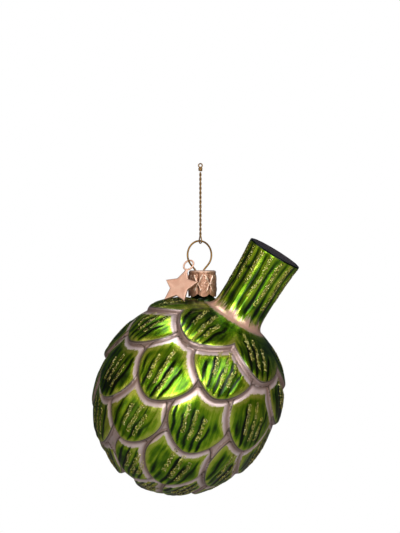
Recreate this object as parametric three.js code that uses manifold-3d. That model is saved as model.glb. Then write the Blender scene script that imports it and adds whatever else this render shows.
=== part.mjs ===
// Artichoke tree ornament: a blown glass shell with moulded bracts and a hollow stem. It hangs head
// down from a stamped crown cap, a sprung wire ring and a twisted cord, with a star charm on the ring.
// Millimetres, +Z up. The origin is the top of the cord's eye, and the ornament is seen along +Y.
import * as THREE from "three";
import { mergeVertices } from "three/addons/utils/BufferGeometryUtils.js";
import Module from "manifold-3d";

const wasm = await Module();
wasm.setup();

const CLEARANCE = 0.3; // running gap between pieces that touch on the real ornament

// Cord: two strands twisted together, with a small eye and a knot above and a bight round the ring.
const CORD_DIAMETER = 0.95;
const STRAND_DIAMETER = 0.5;
const CORD_DROP = 26.8; // from the knot's lower end to the middle of the ring's wire
const BIGHT_RISE = 2.2; // from the middle of the ring's wire up to where the strands part
const BIGHT_SWELL = 0.62; // share of that rise at which the bight is about half as wide as round the wire
const EYE_RADIUS = 0.7; // to the middle of the strand
const KNOT_WRAPS = 3;
const KNOT_RADIUS = 0.5; // to the middle of a wrap
const KNOT_STRAND_RADIUS = 0.3;
const KNOT_PITCH = 0.5;

// Hanger: one wire bent to a ring, whose legs pass the cap's slot and spring apart in the neck.
const WIRE_DIAMETER = 0.7;
const RING_RADIUS = 5.4; // to the middle of the wire
const RING_TURN = 32; // degrees about the cord, the left side nearer
const RING_SHIFT = -0.4; // the ring's centre beside the cord, along the ring
const LEG_ANGLE = 47.3; // degrees from the ring's lowest point to where a leg leaves the circle
const LEG_HALF_SPACING = 1.9; // at the cap's top
const LEG_DEPTH = 8.2; // below the cap's top

// Crown cap: stamped sheet with seven embossed lobes, scalloped along its lower edge.
const CAP_TOP_RADIUS = 5.25;
const CAP_FOOT_RADIUS = 5.5;
const CAP_HEIGHT = 10.2;
const CAP_SHEET = 0.4;
const CAP_CORNER = 0.8;
const CAP_SHIFT = 1.3; // the cap's axis beside the ring's centre, along the ring
const CAP_LOBES = 7;
const CAP_LOBE_TURN = 6; // degrees from the front to the middle of a lobe
const LOBE_BULGE = 0.35;
const BULGE_ABOVE = 0.15; // the bulge at the cap's corner and foot, as shares of the wall's height cut off
const SCALLOP_DEPTH = 1.1;
const SLOT_LENGTH = 7.6;
const SLOT_WIDTH = 1.4;

// Neck of the glass, inside the cap.
const NECK_RADIUS = 4.5;
const NECK_WALL = 0.9;
const NECK_FLARE = 1.1;
const NECK_SUNK = 1.8; // how far the neck's foot lies inside the shoulder
const NECK_TO_RIGHT = 8.8; // degrees from upright, head's centre to neck
const NECK_TO_BACK = 1.0;
const CAP_ABOVE_GLASS = 0.75;

// Head: an egg whose surface is measured over the bract tips, from its centre.
const HEAD_RADIUS = 36.3;
const HEAD_TOP = 37.9; // towards the stem
const HEAD_BOTTOM = 41.0;
const TOP_FULLNESS = 2.25; // exponent of the outline: 2 is an ellipse
const BOTTOM_FULLNESS = 1.95;
const AXIS_TO_RIGHT = 31.6; // degrees, the head's axis from upright
const AXIS_TO_FRONT = 6.5;
const GLASS_WALL = 0.6; // at its thinnest, in the grooves

// Bracts: overlapping scales that point away from the stem, each a shield with a rounded tip.
const RELIEF = 2.4; // step from a bract's tip down to the next row
const SHOULDER_RELIEF = 1.3; // height of the plain glass round the stem and the neck
const SHOULDER_FROM = 24; // degrees from the stem's axis
const SHOULDER_TO = 46;
const BRACT_HALF_WIDTH = 14;
const BRACT_CROWDING = 0.45; // share of the way to the axis that a bract near the lower end may fill
const BRACT_LEAST_HALF_WIDTH = 5;
const BRACT_TAPER = 1.06; // tip to widest place, over the half width
const BRACT_ROOT = 1.08; // widest place to hidden upper end, over the half width
const BRACT_SHARPNESS = 1.65; // exponent of the outline at the tip: 2 is round, 1 is a wedge
const BRACT_FULLNESS = 2.6; // exponent of the outline at the upper end
const BRACT_ARC = 37; // radius on which a bract's width and length are measured
const BRACT_EDGE = 2.4; // width of the rounded side wall
const BRACT_ROOT_HEIGHT = 0.22; // height left at the upper end, over the height at the tip
const BRACT_SUNK = 1.5; // how far a bract's back lies inside the glass
const LEAN_FROM = -5; // degrees round the head, where bracts begin to lean on their tips
const LEAN_FULL = 30;
const LEAN_FADE = 100;
const LEAN_TO = 150;
// Each row's tips: degrees from the stem's axis, and round it from the front, as the mould has them, with
// the lean of the bracts at the right.
const BRACT_ROWS = [
  { polar: 57, lean: 0, azimuths: [-82, -20, 43, 101, 160, 220] },
  { polar: 77.5, lean: -9, azimuths: [-130, -59, 15, 87, 159] },
  { polar: 98.5, lean: -14, azimuths: [-95, -21, 56, 125, 195] },
  { polar: 116, lean: -14, azimuths: [-57, 19, 84, 161, 231] },
  { polar: 132, lean: -14, azimuths: [-100, -26, 66, 128, 194] },
  { polar: 147.5, lean: -14, azimuths: [-64, 25, 96, 161, 228] },
  { polar: 159, lean: -9, azimuths: [-105, -10, 60, 128, 192] },
  { polar: 170, lean: 0, azimuths: [-60, 25, 97, 169, 241] },
];

// Stem: a fluted tube, flared at its foot and again towards its dished end.
const STEM_LENGTH = 29.3;
const STEM_RADIUS = 9.7;
const STEM_FOOT_FLARE = 0.8;
const STEM_FOOT_FADE = 3;
const STEM_END_FLARE = 1.3;
const STEM_END_FADE = 9;
const STEM_WALL = 2.0;
const STEM_RIBS = 15;
const STEM_RIB_HEIGHT = 0.2;
const STEM_RIB_END = 0.3; // height left of a rib at the end's rim, over its full height
const STEM_EDGE = 0.6; // rounding of the end's rim
const STEM_DISH = 0.8;
const STEM_DISH_SLOPE = 1.6; // width of the dish's side

// Star charm, with an eyelet in one piece with it.
const STAR_RADIUS = 7.8;
const STAR_NOTCH = 0.54; // inner radius over outer radius
const STAR_THICKNESS = 0.9;
const STAR_BEVEL = 0.12;
const EYELET_RADIUS = 2.1; // to the middle of its wire
const EYELET_WIRE = 0.7;
const EYELET_ABOVE_STAR = 9.8; // centre to centre
const STALK_WIDTH = 1.3; // of the star's upper arm where it runs into the eyelet
const CHARM_PLACE = 51; // degrees round the ring from its lowest point, on the left
const CHARM_CATCH = 40; // degrees from the top of the eyelet's hole to where the wire lies in it
const CHARM_TURN = -38; // degrees about upright
const CHARM_LEAN = -33; // degrees, its face turned up
const CHARM_ROLL = 5;

// Fineness of the curved surfaces.
const HEAD_COLUMNS = 60;
const HEAD_RINGS = 12;
const STEM_RINGS = 6;
const STEM_RING_SPREAD = 1.3; // above 1 the rings stand closer at the foot
const BRACT_COLUMNS = 16;
const INNER_COLUMNS = 36;
const INNER_RINGS = 16;
const CAP_COLUMNS = 6 * CAP_LOBES;
const ROUND_SIDES = 32;
const RING_STEPS = 20;
const HANGER_STEPS = 56;
const WIRE_SIDES = 8;

const radians = THREE.MathUtils.degToRad;
const wireRadius = WIRE_DIAMETER / 2;
const alongRing = new THREE.Vector3(Math.cos(radians(RING_TURN)), Math.sin(radians(RING_TURN)), 0);

const rosegold = new THREE.MeshStandardMaterial({ color: 0xc98f74, roughness: 0.35, metalness: 1 });
const satin = new THREE.MeshStandardMaterial({ color: 0xd8a58b, roughness: 0.5, metalness: 1 });
const antique = new THREE.MeshStandardMaterial({ color: 0x9a7434, roughness: 0.35, metalness: 1 });
const lacquer = new THREE.MeshStandardMaterial({ color: 0x4f8a1c, roughness: 0.15, metalness: 0.6 });
const cordGold = new THREE.MeshStandardMaterial({ color: 0xa98449, roughness: 0.6, metalness: 0.4 });

// A closed three.js geometry as a solid that can be joined and cut.
function solidOf(geometry) {
  const bare = geometry.clone();
  bare.deleteAttribute("normal");
  bare.deleteAttribute("uv");
  const merged = mergeVertices(bare, 1e-4);
  return new wasm.Manifold(
    new wasm.Mesh({
      numProp: 3,
      vertProperties: merged.attributes.position.array,
      triVerts: new Uint32Array(merged.index.array),
    }),
  );
}

function geometryOf(solid) {
  const mesh = solid.getMesh();
  const geometry = new THREE.BufferGeometry();
  geometry.setAttribute("position", new THREE.BufferAttribute(mesh.vertProperties, 3));
  geometry.setIndex(new THREE.BufferAttribute(mesh.triVerts, 1));
  geometry.computeVertexNormals();
  return geometry;
}

function named(name, geometry, material) {
  const mesh = new THREE.Mesh(geometry, material);
  mesh.name = name;
  return mesh;
}

// A closed body of rings that go round the axis, between a first and a last point on the axis.
function ringBody(first, rings, last) {
  const columns = rings[0].length;
  const points = [first, ...rings.flat(), last];
  const lastIndex = points.length - 1;
  const at = (ring, column) => 1 + ring * columns + (column % columns);
  const index = [];
  for (let column = 0; column < columns; column++) {
    index.push(0, at(0, column + 1), at(0, column));
    for (let ring = 0; ring + 1 < rings.length; ring++) {
      index.push(at(ring, column), at(ring, column + 1), at(ring + 1, column));
      index.push(at(ring, column + 1), at(ring + 1, column + 1), at(ring + 1, column));
    }
    index.push(at(rings.length - 1, column), at(rings.length - 1, column + 1), lastIndex);
  }
  const geometry = new THREE.BufferGeometry().setFromPoints(points);
  geometry.setIndex(index);
  return geometry;
}

// Points evenly round the axis: place(azimuth) gives the radius and the height there.
function ringOf(columns, place) {
  return Array.from({ length: columns }, (_, column) => {
    const azimuth = (2 * Math.PI * column) / columns;
    const { radius, height } = place(azimuth);
    return new THREE.Vector3(radius * Math.sin(azimuth), -radius * Math.cos(azimuth), height);
  });
}

// A round bar along a curve, with flat ends.
function bar(curve, radius, steps, sides = WIRE_SIDES) {
  const section = new THREE.Shape();
  for (let side = 0; side < sides; side++) {
    const angle = (2 * Math.PI * side) / sides;
    const x = radius * Math.cos(angle);
    const y = radius * Math.sin(angle);
    if (side === 0) section.moveTo(x, y);
    else section.lineTo(x, y);
  }
  return new THREE.ExtrudeGeometry(section, { steps, extrudePath: curve });
}

// Levels down the hanging line, from the cord's eye to the glass.
const eyeHeight = 2 * EYE_RADIUS + STRAND_DIAMETER;
const knotHeight = (KNOT_WRAPS - 1) * KNOT_PITCH + KNOT_STRAND_RADIUS;
const knotBottom = -eyeHeight - knotHeight;
const ringTop = knotBottom - CORD_DROP;
const ringCentre = alongRing.clone().multiplyScalar(RING_SHIFT).setZ(ringTop - RING_RADIUS);
const legStart = new THREE.Vector2(
  RING_RADIUS * Math.sin(radians(LEG_ANGLE)),
  -RING_RADIUS * Math.cos(radians(LEG_ANGLE)),
);
const legDrop = (legStart.x - LEG_HALF_SPACING) * Math.tan(radians(LEG_ANGLE));
const capTop = ringCentre.z + legStart.y - legDrop;
const capAxis = ringCentre.clone().addScaledVector(alongRing, CAP_SHIFT).setZ(0);
const capFoot = capTop - CAP_HEIGHT;
const boreRadius = NECK_RADIUS - NECK_WALL;

// Distance from the head's centre to the outline over the bract tips, at an angle from the stem's axis.
function outlineRadius(polar) {
  const upper = Math.cos(polar) > 0;
  const length = upper ? HEAD_TOP : HEAD_BOTTOM;
  const fullness = upper ? TOP_FULLNESS : BOTTOM_FULLNESS;
  const across = (Math.sin(polar) / HEAD_RADIUS) ** fullness;
  const along = (Math.abs(Math.cos(polar)) / length) ** fullness;
  return (across + along) ** (-1 / fullness);
}

function shoulderHeight(polar) {
  const share = THREE.MathUtils.smoothstep(polar, radians(SHOULDER_FROM), radians(SHOULDER_TO));
  return SHOULDER_RELIEF * (1 - share);
}

function direction(polar, azimuth) {
  return new THREE.Vector3(
    Math.sin(polar) * Math.sin(azimuth),
    -Math.sin(polar) * Math.cos(azimuth),
    Math.cos(polar),
  );
}

function leanShare(degrees) {
  const leaning = THREE.MathUtils.smoothstep(degrees, LEAN_FROM, LEAN_FULL);
  return leaning * (1 - THREE.MathUtils.smoothstep(degrees, LEAN_FADE, LEAN_TO));
}

// Every bract's tip, with the directions across it and up it towards the stem, and its own size.
const bracts = BRACT_ROWS.flatMap(({ polar, lean, azimuths }) =>
  azimuths.map((degrees) => {
    const tipPolar = radians(polar);
    const azimuth = radians(degrees);
    const room = BRACT_LEAST_HALF_WIDTH + BRACT_CROWDING * BRACT_ARC * Math.sin(tipPolar);
    const halfWidth = Math.min(BRACT_HALF_WIDTH, room);
    const tip = direction(tipPolar, azimuth);
    const turn = -radians(lean) * leanShare(degrees);
    return {
      tip,
      up: direction(tipPolar - Math.PI / 2, azimuth).applyAxisAngle(tip, turn),
      across: new THREE.Vector3(Math.cos(azimuth), Math.sin(azimuth), 0).applyAxisAngle(tip, turn),
      halfWidth,
      height: (RELIEF * (1 + halfWidth / BRACT_HALF_WIDTH)) / 2,
    };
  }),
);

// A ring of a bract at a share of its outline, which is one superellipse below its widest place and a
// fuller one above it, wrapped round the head. The bract slopes up to its tip, and lift scales that.
function bractRing(bract, share, lift, sunk) {
  const taper = bract.halfWidth * BRACT_TAPER;
  const root = bract.halfWidth * BRACT_ROOT;
  return Array.from({ length: BRACT_COLUMNS }, (_, column) => {
    const turn = (-2 * Math.PI * (column + 0.5)) / BRACT_COLUMNS;
    const above = Math.cos(turn) > 0;
    const bend = 2 / (above ? BRACT_FULLNESS : BRACT_SHARPNESS);
    const sideways = Math.sign(Math.sin(turn)) * Math.abs(Math.sin(turn)) ** bend;
    const lengthways = Math.abs(Math.cos(turn)) ** bend;
    const across = share * bract.halfWidth * sideways;
    const along = taper + share * lengthways * (above ? root : -taper);
    return bractPoint(bract, across, along, lift, sunk);
  });
}

function bractPoint(bract, across, along, lift, sunk) {
  const length = bract.halfWidth * (BRACT_TAPER + BRACT_ROOT);
  const meridian = bract.tip.clone().multiplyScalar(Math.cos(along / BRACT_ARC));
  meridian.addScaledVector(bract.up, Math.sin(along / BRACT_ARC));
  const toPoint = meridian.multiplyScalar(Math.cos(across / BRACT_ARC));
  toPoint.addScaledVector(bract.across, Math.sin(across / BRACT_ARC));
  const slope = THREE.MathUtils.lerp(1, BRACT_ROOT_HEIGHT, along / length);
  const polar = Math.acos(THREE.MathUtils.clamp(toPoint.z, -1, 1));
  return toPoint.multiplyScalar(outlineRadius(polar) - RELIEF + bract.height * slope * lift - sunk);
}

// One bract as a closed scale: a crowned face, a quarter-round side wall and a back inside the glass.
function bractSolid(bract) {
  const middle = bract.halfWidth * BRACT_TAPER;
  const wallInside = 1 - BRACT_EDGE / BRACT_HALF_WIDTH;
  const shares = [1, THREE.MathUtils.lerp(1, wallInside, 0.3), wallInside];
  const rings = shares.map((share) => {
    const edge = 1 - Math.min(1, ((1 - share) * BRACT_HALF_WIDTH) / BRACT_EDGE);
    return bractRing(bract, share, Math.sqrt(1 - edge * edge), 0);
  });
  rings.unshift(bractRing(bract, 1, 0, BRACT_SUNK));
  const back = bractPoint(bract, 0, middle, 0, BRACT_SUNK);
  return solidOf(ringBody(back, rings, bractPoint(bract, 0, middle, 1, 0)));
}

function shoulderRadius(polar) {
  return outlineRadius(polar) - RELIEF + shoulderHeight(polar);
}

function stemRadius(fromFoot) {
  const foot = STEM_FOOT_FLARE * Math.exp(-fromFoot / STEM_FOOT_FADE);
  const end = STEM_END_FLARE * Math.exp((fromFoot - STEM_LENGTH) / STEM_END_FADE);
  return STEM_RADIUS + foot + end;
}

// Where the stem's foot stands on the shoulder: its angle from the axis and its height.
const footPolar = Math.asin(stemRadius(0) / (HEAD_TOP - RELIEF + SHOULDER_RELIEF));
const footHeight = shoulderRadius(footPolar) * Math.cos(footPolar);

// The glass outside, less its bracts: the head's rings from its lowest point, the fluted stem and its
// dished end. The head can be grown, to cut what stands on it.
function plainGlass(growth = 0) {
  const rings = [];
  for (let ring = 1; ring <= HEAD_RINGS; ring++) {
    const polar = THREE.MathUtils.lerp(Math.PI, footPolar, ring / HEAD_RINGS);
    const reach = shoulderRadius(polar) + growth;
    rings.push(
      ringOf(HEAD_COLUMNS, () => ({ radius: reach * Math.sin(polar), height: reach * Math.cos(polar) })),
    );
  }
  const straight = STEM_LENGTH - STEM_EDGE;
  for (let ring = 1; ring <= STEM_RINGS; ring++) {
    const fromFoot = straight * (ring / STEM_RINGS) ** STEM_RING_SPREAD;
    const atFoot = Math.min(1, fromFoot / STEM_FOOT_FADE);
    const fade = atFoot * Math.min(1, STEM_RIB_END + (straight - fromFoot) / STEM_FOOT_FADE);
    rings.push(
      ringOf(HEAD_COLUMNS, (azimuth) => ({
        radius: stemRadius(fromFoot) - (STEM_RIB_HEIGHT * fade * (1 - Math.cos(STEM_RIBS * azimuth))) / 2,
        height: footHeight + fromFoot,
      })),
    );
  }
  const endRadius = stemRadius(straight) - STEM_EDGE;
  const endHeight = footHeight + STEM_LENGTH;
  const flat = (radius, height) => ringOf(HEAD_COLUMNS, () => ({ radius, height }));
  const halfway = STEM_EDGE * Math.SQRT1_2;
  rings.push(flat(endRadius + halfway, endHeight - STEM_EDGE + halfway));
  rings.push(flat(endRadius, endHeight));
  rings.push(flat(endRadius - STEM_DISH_SLOPE, endHeight - STEM_DISH));
  const lowest = new THREE.Vector3(0, 0, -shoulderRadius(Math.PI));
  return ringBody(lowest, rings, new THREE.Vector3(0, 0, endHeight - STEM_DISH));
}

// The hollow inside: plain, and as deep as the grooves leave it.
function innerGlass() {
  const innerRadius = (polar) => outlineRadius(polar) - RELIEF - GLASS_WALL;
  const stemInside = STEM_RADIUS - STEM_RIB_HEIGHT - STEM_WALL;
  const mouthPolar = Math.asin(stemInside / (HEAD_TOP - RELIEF - GLASS_WALL));
  const plain = (radius, height) => ringOf(INNER_COLUMNS, () => ({ radius, height }));
  const rings = [];
  for (let ring = 1; ring <= INNER_RINGS; ring++) {
    const polar = THREE.MathUtils.lerp(Math.PI, mouthPolar, ring / INNER_RINGS);
    rings.push(plain(innerRadius(polar) * Math.sin(polar), innerRadius(polar) * Math.cos(polar)));
  }
  const stemTop = footHeight + STEM_LENGTH - STEM_DISH - STEM_WALL;
  rings.push(plain(stemInside, stemTop));
  const lowest = new THREE.Vector3(0, 0, -innerRadius(Math.PI));
  return ringBody(lowest, rings, new THREE.Vector3(0, 0, stemTop));
}

// The head's pose: its axis leans to the right and a little to the front, and the neck's foot on the
// shoulder is under the cap.
const headTurn = new THREE.Matrix4().makeRotationY(radians(AXIS_TO_RIGHT));
headTurn.multiply(new THREE.Matrix4().makeRotationX(radians(AXIS_TO_FRONT)));
const headAxis = new THREE.Vector3(0, 0, 1).transformDirection(headTurn);
const neckWay = new THREE.Vector3(
  Math.tan(radians(NECK_TO_RIGHT)),
  Math.tan(radians(NECK_TO_BACK)),
  1,
).normalize();
const neckPolar = neckWay.angleTo(headAxis);
const neckReach = shoulderRadius(neckPolar);
const neckFoot = capAxis.clone().setZ(capFoot - CAP_ABOVE_GLASS);
const headCentre = neckFoot.clone().addScaledVector(neckWay, -neckReach);
const headPose = headTurn.clone().setPosition(headCentre);

// The neck stands upright in the cap, so what is turned round the cap's axis is put into the head's frame
// before it is joined or cut.
function aroundNeck(profile) {
  const geometry = new THREE.LatheGeometry(profile, ROUND_SIDES);
  geometry.rotateX(Math.PI / 2);
  geometry.translate(capAxis.x, capAxis.y, 0);
  geometry.applyMatrix4(headPose.clone().invert());
  return solidOf(geometry);
}

function glassPiece(name, solid) {
  const mesh = named(name, geometryOf(solid), lacquer);
  mesh.position.copy(headCentre);
  mesh.quaternion.setFromRotationMatrix(headTurn);
  return mesh;
}

// The head and the stem, open at the neck.
function glassShell() {
  const boreFoot = neckFoot.z - HEAD_RADIUS / 2;
  const bore = aroundNeck([
    new THREE.Vector2(0, boreFoot),
    new THREE.Vector2(boreRadius, boreFoot),
    new THREE.Vector2(boreRadius, capTop),
    new THREE.Vector2(0, capTop),
  ]);
  let outside = solidOf(plainGlass());
  for (const bract of bracts) outside = outside.add(bractSolid(bract));
  return glassPiece("glass_shell", outside.subtract(solidOf(innerGlass())).subtract(bore));
}

// The neck: a flared tube that stands on the shoulder round its opening.
function glassNeck() {
  const top = capTop - CAP_SHEET - CLEARANCE;
  const inWall = neckFoot.z - NECK_SUNK;
  const tube = aroundNeck([
    new THREE.Vector2(boreRadius, inWall),
    new THREE.Vector2(NECK_RADIUS + NECK_FLARE, inWall),
    new THREE.Vector2(NECK_RADIUS, capFoot - CLEARANCE),
    new THREE.Vector2(NECK_RADIUS, top),
    new THREE.Vector2(boreRadius, top),
    new THREE.Vector2(boreRadius, inWall),
  ]);
  return glassPiece("glass_neck", tube.subtract(solidOf(plainGlass(CLEARANCE))));
}

// The cap's wall at a share of the way down from its top corner, with the lobes' pillows between
// creases. The outer and the inner face follow the same pillows, as on stamped sheet.
function capRing(down, inset) {
  return ringOf(CAP_COLUMNS, (azimuth) => {
    const lobe = Math.abs(Math.cos((CAP_LOBES * (azimuth - radians(CAP_LOBE_TURN))) / 2));
    const scallop = SCALLOP_DEPTH * (1 - lobe) * down ** 2;
    const taper = THREE.MathUtils.lerp(CAP_TOP_RADIUS, CAP_FOOT_RADIUS, down);
    const arch = Math.sin((Math.PI * (BULGE_ABOVE + down)) / (1 + 2 * BULGE_ABOVE));
    const bulge = LOBE_BULGE * lobe * arch;
    return {
      radius: taper + bulge - inset,
      height: -CAP_CORNER - (CAP_HEIGHT - CAP_CORNER) * down + scallop,
    };
  });
}

function crownCap() {
  const corner = (share, inset) =>
    ringOf(CAP_COLUMNS, () => ({
      radius: CAP_TOP_RADIUS - CAP_CORNER + (CAP_CORNER - inset) * Math.sin(share * (Math.PI / 2)),
      height: -CAP_CORNER + (CAP_CORNER - inset) * Math.cos(share * (Math.PI / 2)),
    }));
  const levels = [0.12, 0.3, 0.5, 0.75, 1];
  const outside = levels.map((down) => capRing(down, 0)).reverse();
  const inside = levels.map((down) => capRing(down, CAP_SHEET));
  const rings = [
    ...[corner(0, CAP_SHEET), corner(0.5, CAP_SHEET), ...inside],
    ...[...outside, corner(0.5, 0), corner(0, 0)],
  ];
  const body = solidOf(
    ringBody(new THREE.Vector3(0, 0, -CAP_SHEET), rings, new THREE.Vector3(0, 0, 0)),
  );
  const slotShape = new THREE.Shape();
  const half = (SLOT_LENGTH - SLOT_WIDTH) / 2;
  slotShape.absarc(half, 0, SLOT_WIDTH / 2, -Math.PI / 2, Math.PI / 2);
  slotShape.absarc(-half, 0, SLOT_WIDTH / 2, Math.PI / 2, (3 * Math.PI) / 2);
  const slot = new THREE.ExtrudeGeometry(slotShape, {
    depth: 3 * CAP_SHEET,
    bevelEnabled: false,
    curveSegments: 6,
  });
  slot.translate(0, 0, -2 * CAP_SHEET);
  slot.rotateZ(radians(RING_TURN));
  const mesh = named("crown_cap", geometryOf(body.subtract(solidOf(slot))), rosegold);
  mesh.position.set(capAxis.x, capAxis.y, capTop);
  return mesh;
}

// The hanger's middle line: up one sprung leg, through the slot, round the ring and back down.
function hangerWire() {
  const inBore = boreRadius * Math.cos(Math.PI / ROUND_SIDES) - wireRadius - CLEARANCE;
  const inRing = (along, height) => {
    const point = ringCentre.clone().addScaledVector(alongRing, along);
    return point.setZ(ringCentre.z + height);
  };
  const legTop = capTop - ringCentre.z;
  const belowSlot = legTop - CAP_SHEET - WIRE_DIAMETER;
  const legEnd = legTop - LEG_DEPTH;
  const leg = (side) => [
    inRing(CAP_SHIFT + side * inBore, legEnd),
    inRing(CAP_SHIFT + side * inBore, (2 * legEnd + belowSlot) / 3),
    inRing(side * (LEG_HALF_SPACING - CAP_SHEET), belowSlot),
    inRing(side * LEG_HALF_SPACING, legTop),
  ];
  const arc = [];
  for (let step = 0; step <= RING_STEPS; step++) {
    const angle = radians(THREE.MathUtils.lerp(-180 + LEG_ANGLE, 180 - LEG_ANGLE, step / RING_STEPS));
    arc.push(inRing(RING_RADIUS * Math.sin(angle), RING_RADIUS * Math.cos(angle)));
  }
  const line = [...leg(-1), ...arc, ...leg(1).reverse()];
  const curve = new THREE.CatmullRomCurve3(line, false, "centripetal");
  return named("hanger_wire", bar(curve, wireRadius, HANGER_STEPS), antique);
}

function starCharm() {
  const outline = new THREE.Shape();
  outline.moveTo(-STALK_WIDTH / 2, -EYELET_RADIUS);
  outline.lineTo(STALK_WIDTH / 2, -EYELET_RADIUS);
  for (let corner = 1; corner < 10; corner++) {
    const radius = (corner % 2 ? STAR_NOTCH : 1) * STAR_RADIUS - STAR_BEVEL;
    const angle = (Math.PI * corner) / 5;
    outline.lineTo(radius * Math.sin(angle), radius * Math.cos(angle) - EYELET_ABOVE_STAR);
  }
  const star = new THREE.ExtrudeGeometry(outline, {
    depth: STAR_THICKNESS - 2 * STAR_BEVEL,
    bevelThickness: STAR_BEVEL,
    bevelSize: STAR_BEVEL,
    bevelSegments: 1,
  });
  star.translate(0, 0, STAR_BEVEL - STAR_THICKNESS / 2);
  const eyelet = new THREE.TorusGeometry(EYELET_RADIUS, EYELET_WIRE / 2, WIRE_SIDES, 24);
  const mesh = named("star_charm", geometryOf(solidOf(star).add(solidOf(eyelet))), satin);
  mesh.rotation.set(Math.PI / 2 + radians(CHARM_LEAN), radians(CHARM_ROLL), 0);
  const group = new THREE.Group();
  group.add(mesh);
  group.rotation.z = radians(CHARM_TURN);
  // The eyelet hangs on the wire by the upper right of its hole.
  const place = radians(CHARM_PLACE);
  const onWire = ringCentre.clone().addScaledVector(alongRing, -RING_RADIUS * Math.sin(place));
  onWire.z -= RING_RADIUS * Math.cos(place);
  const hang = EYELET_RADIUS - EYELET_WIRE / 2 - wireRadius - 2 * CLEARANCE;
  const caught = new THREE.Vector3(Math.sin(radians(CHARM_CATCH)), Math.cos(radians(CHARM_CATCH)), 0);
  caught.applyEuler(mesh.rotation).applyEuler(group.rotation);
  group.position.copy(onWire).addScaledVector(caught, -hang);
  return group;
}

// The cord down from the knot, and the bight where its two strands part and pass round the wire.
function hangingCord() {
  const fork = ringTop + BIGHT_RISE;
  const straight = new THREE.LineCurve3(
    new THREE.Vector3(0, 0, knotBottom - CLEARANCE),
    new THREE.Vector3(0, 0, fork - CORD_DIAMETER / 2),
  );
  const across = new THREE.Vector3(-alongRing.y, alongRing.x, 0);
  const reach = wireRadius + CLEARANCE + STRAND_DIAMETER / 2;
  const beside = (CORD_DIAMETER - STRAND_DIAMETER) / 2;
  const at = (side, height) => across.clone().multiplyScalar(side).setZ(ringTop + height);
  const bight = new THREE.CatmullRomCurve3(
    [
      at(-beside, BIGHT_RISE),
      at(-reach / 2, BIGHT_SWELL * BIGHT_RISE),
      at(-reach, 0),
      at(-reach * Math.SQRT1_2, -reach * Math.SQRT1_2),
      at(0, -reach),
      at(reach * Math.SQRT1_2, -reach * Math.SQRT1_2),
      at(reach, 0),
      at(reach / 2, BIGHT_SWELL * BIGHT_RISE),
      at(beside, BIGHT_RISE),
    ],
    false,
    "centripetal",
  );
  const cord = solidOf(bar(straight, CORD_DIAMETER / 2, 10));
  const loop = solidOf(bar(bight, STRAND_DIAMETER / 2, 24, 6));
  return named("hanging_cord", geometryOf(cord.add(loop)), cordGold);
}

// The knot's wraps round a core, under the eye.
function cordKnot() {
  const eye = new THREE.TorusGeometry(EYE_RADIUS, STRAND_DIAMETER / 2, 6, 16);
  eye.rotateX(Math.PI / 2);
  eye.translate(0, 0, -EYE_RADIUS - STRAND_DIAMETER / 2);
  const core = new THREE.CylinderGeometry(KNOT_RADIUS, KNOT_RADIUS, knotHeight + CLEARANCE, 12);
  core.rotateX(Math.PI / 2);
  core.translate(0, 0, knotBottom + (knotHeight + CLEARANCE) / 2);
  let knot = solidOf(eye).add(solidOf(core));
  for (let wrap = 0; wrap < KNOT_WRAPS; wrap++) {
    const ring = new THREE.TorusGeometry(KNOT_RADIUS, KNOT_STRAND_RADIUS, 6, 12);
    ring.translate(0, 0, knotBottom + KNOT_STRAND_RADIUS + wrap * KNOT_PITCH);
    knot = knot.add(solidOf(ring));
  }
  return named("cord_knot", geometryOf(knot), cordGold);
}

const ornament = new THREE.Group();
ornament.add(cordKnot(), hangingCord(), hangerWire(), crownCap(), glassShell(), glassNeck(), starCharm());

export default ornament;
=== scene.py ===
"""Blown glass artichoke ornament with a moulded stem, hung head down from a stamped crown cap.

Every piece is worked out with numpy in millimetres, and put into its mesh in metres.
The head's frame has its origin at the head's centre and its +Z along the stem.
"""

import math
from types import SimpleNamespace

import bpy
import numpy as np
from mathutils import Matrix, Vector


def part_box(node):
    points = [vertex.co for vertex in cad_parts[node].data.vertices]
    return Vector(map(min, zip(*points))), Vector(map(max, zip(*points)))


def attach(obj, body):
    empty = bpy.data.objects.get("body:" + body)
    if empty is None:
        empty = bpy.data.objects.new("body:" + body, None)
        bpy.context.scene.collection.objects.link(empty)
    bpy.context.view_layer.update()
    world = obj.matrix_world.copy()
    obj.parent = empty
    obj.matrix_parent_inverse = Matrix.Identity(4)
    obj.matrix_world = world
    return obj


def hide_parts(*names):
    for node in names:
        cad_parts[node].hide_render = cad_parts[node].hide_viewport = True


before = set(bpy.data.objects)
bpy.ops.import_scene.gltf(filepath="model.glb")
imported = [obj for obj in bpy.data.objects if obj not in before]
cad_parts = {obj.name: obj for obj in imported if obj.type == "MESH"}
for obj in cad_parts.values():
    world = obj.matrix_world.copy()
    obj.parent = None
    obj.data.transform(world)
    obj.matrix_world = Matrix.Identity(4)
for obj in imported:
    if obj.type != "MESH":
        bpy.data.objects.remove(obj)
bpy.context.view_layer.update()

MM = 0.001

# Sizes are in millimetres and angles in degrees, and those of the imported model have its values.
CLEARANCE = 0.3

# Cord and knot
CORD_DIAMETER = 0.95
STRAND_DIAMETER = 0.5
CORD_DROP = 26.8
BIGHT_RISE = 2.2
BIGHT_SWELL = 0.62
CORD_LAY = 3.5  # length of one turn of the two strands
CORD_STEPS = 300
FILAMENTS = 7  # swellings round a strand
EYE_RADIUS = 0.7
KNOT_WRAPS = 3
KNOT_RADIUS = 0.5
KNOT_STRAND_RADIUS = 0.3
KNOT_PITCH = 0.5
EYE_STEPS = 60
KNOT_SIDES = 12

# Hanger wire
WIRE_DIAMETER = 0.7
RING_RADIUS = 5.4
RING_TURN = 32
RING_SHIFT = -0.4
LEG_ANGLE = 47.3
LEG_HALF_SPACING = 1.9
LEG_DEPTH = 8.2
WIRE_STEPS = 260
WIRE_SIDES = 20

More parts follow.
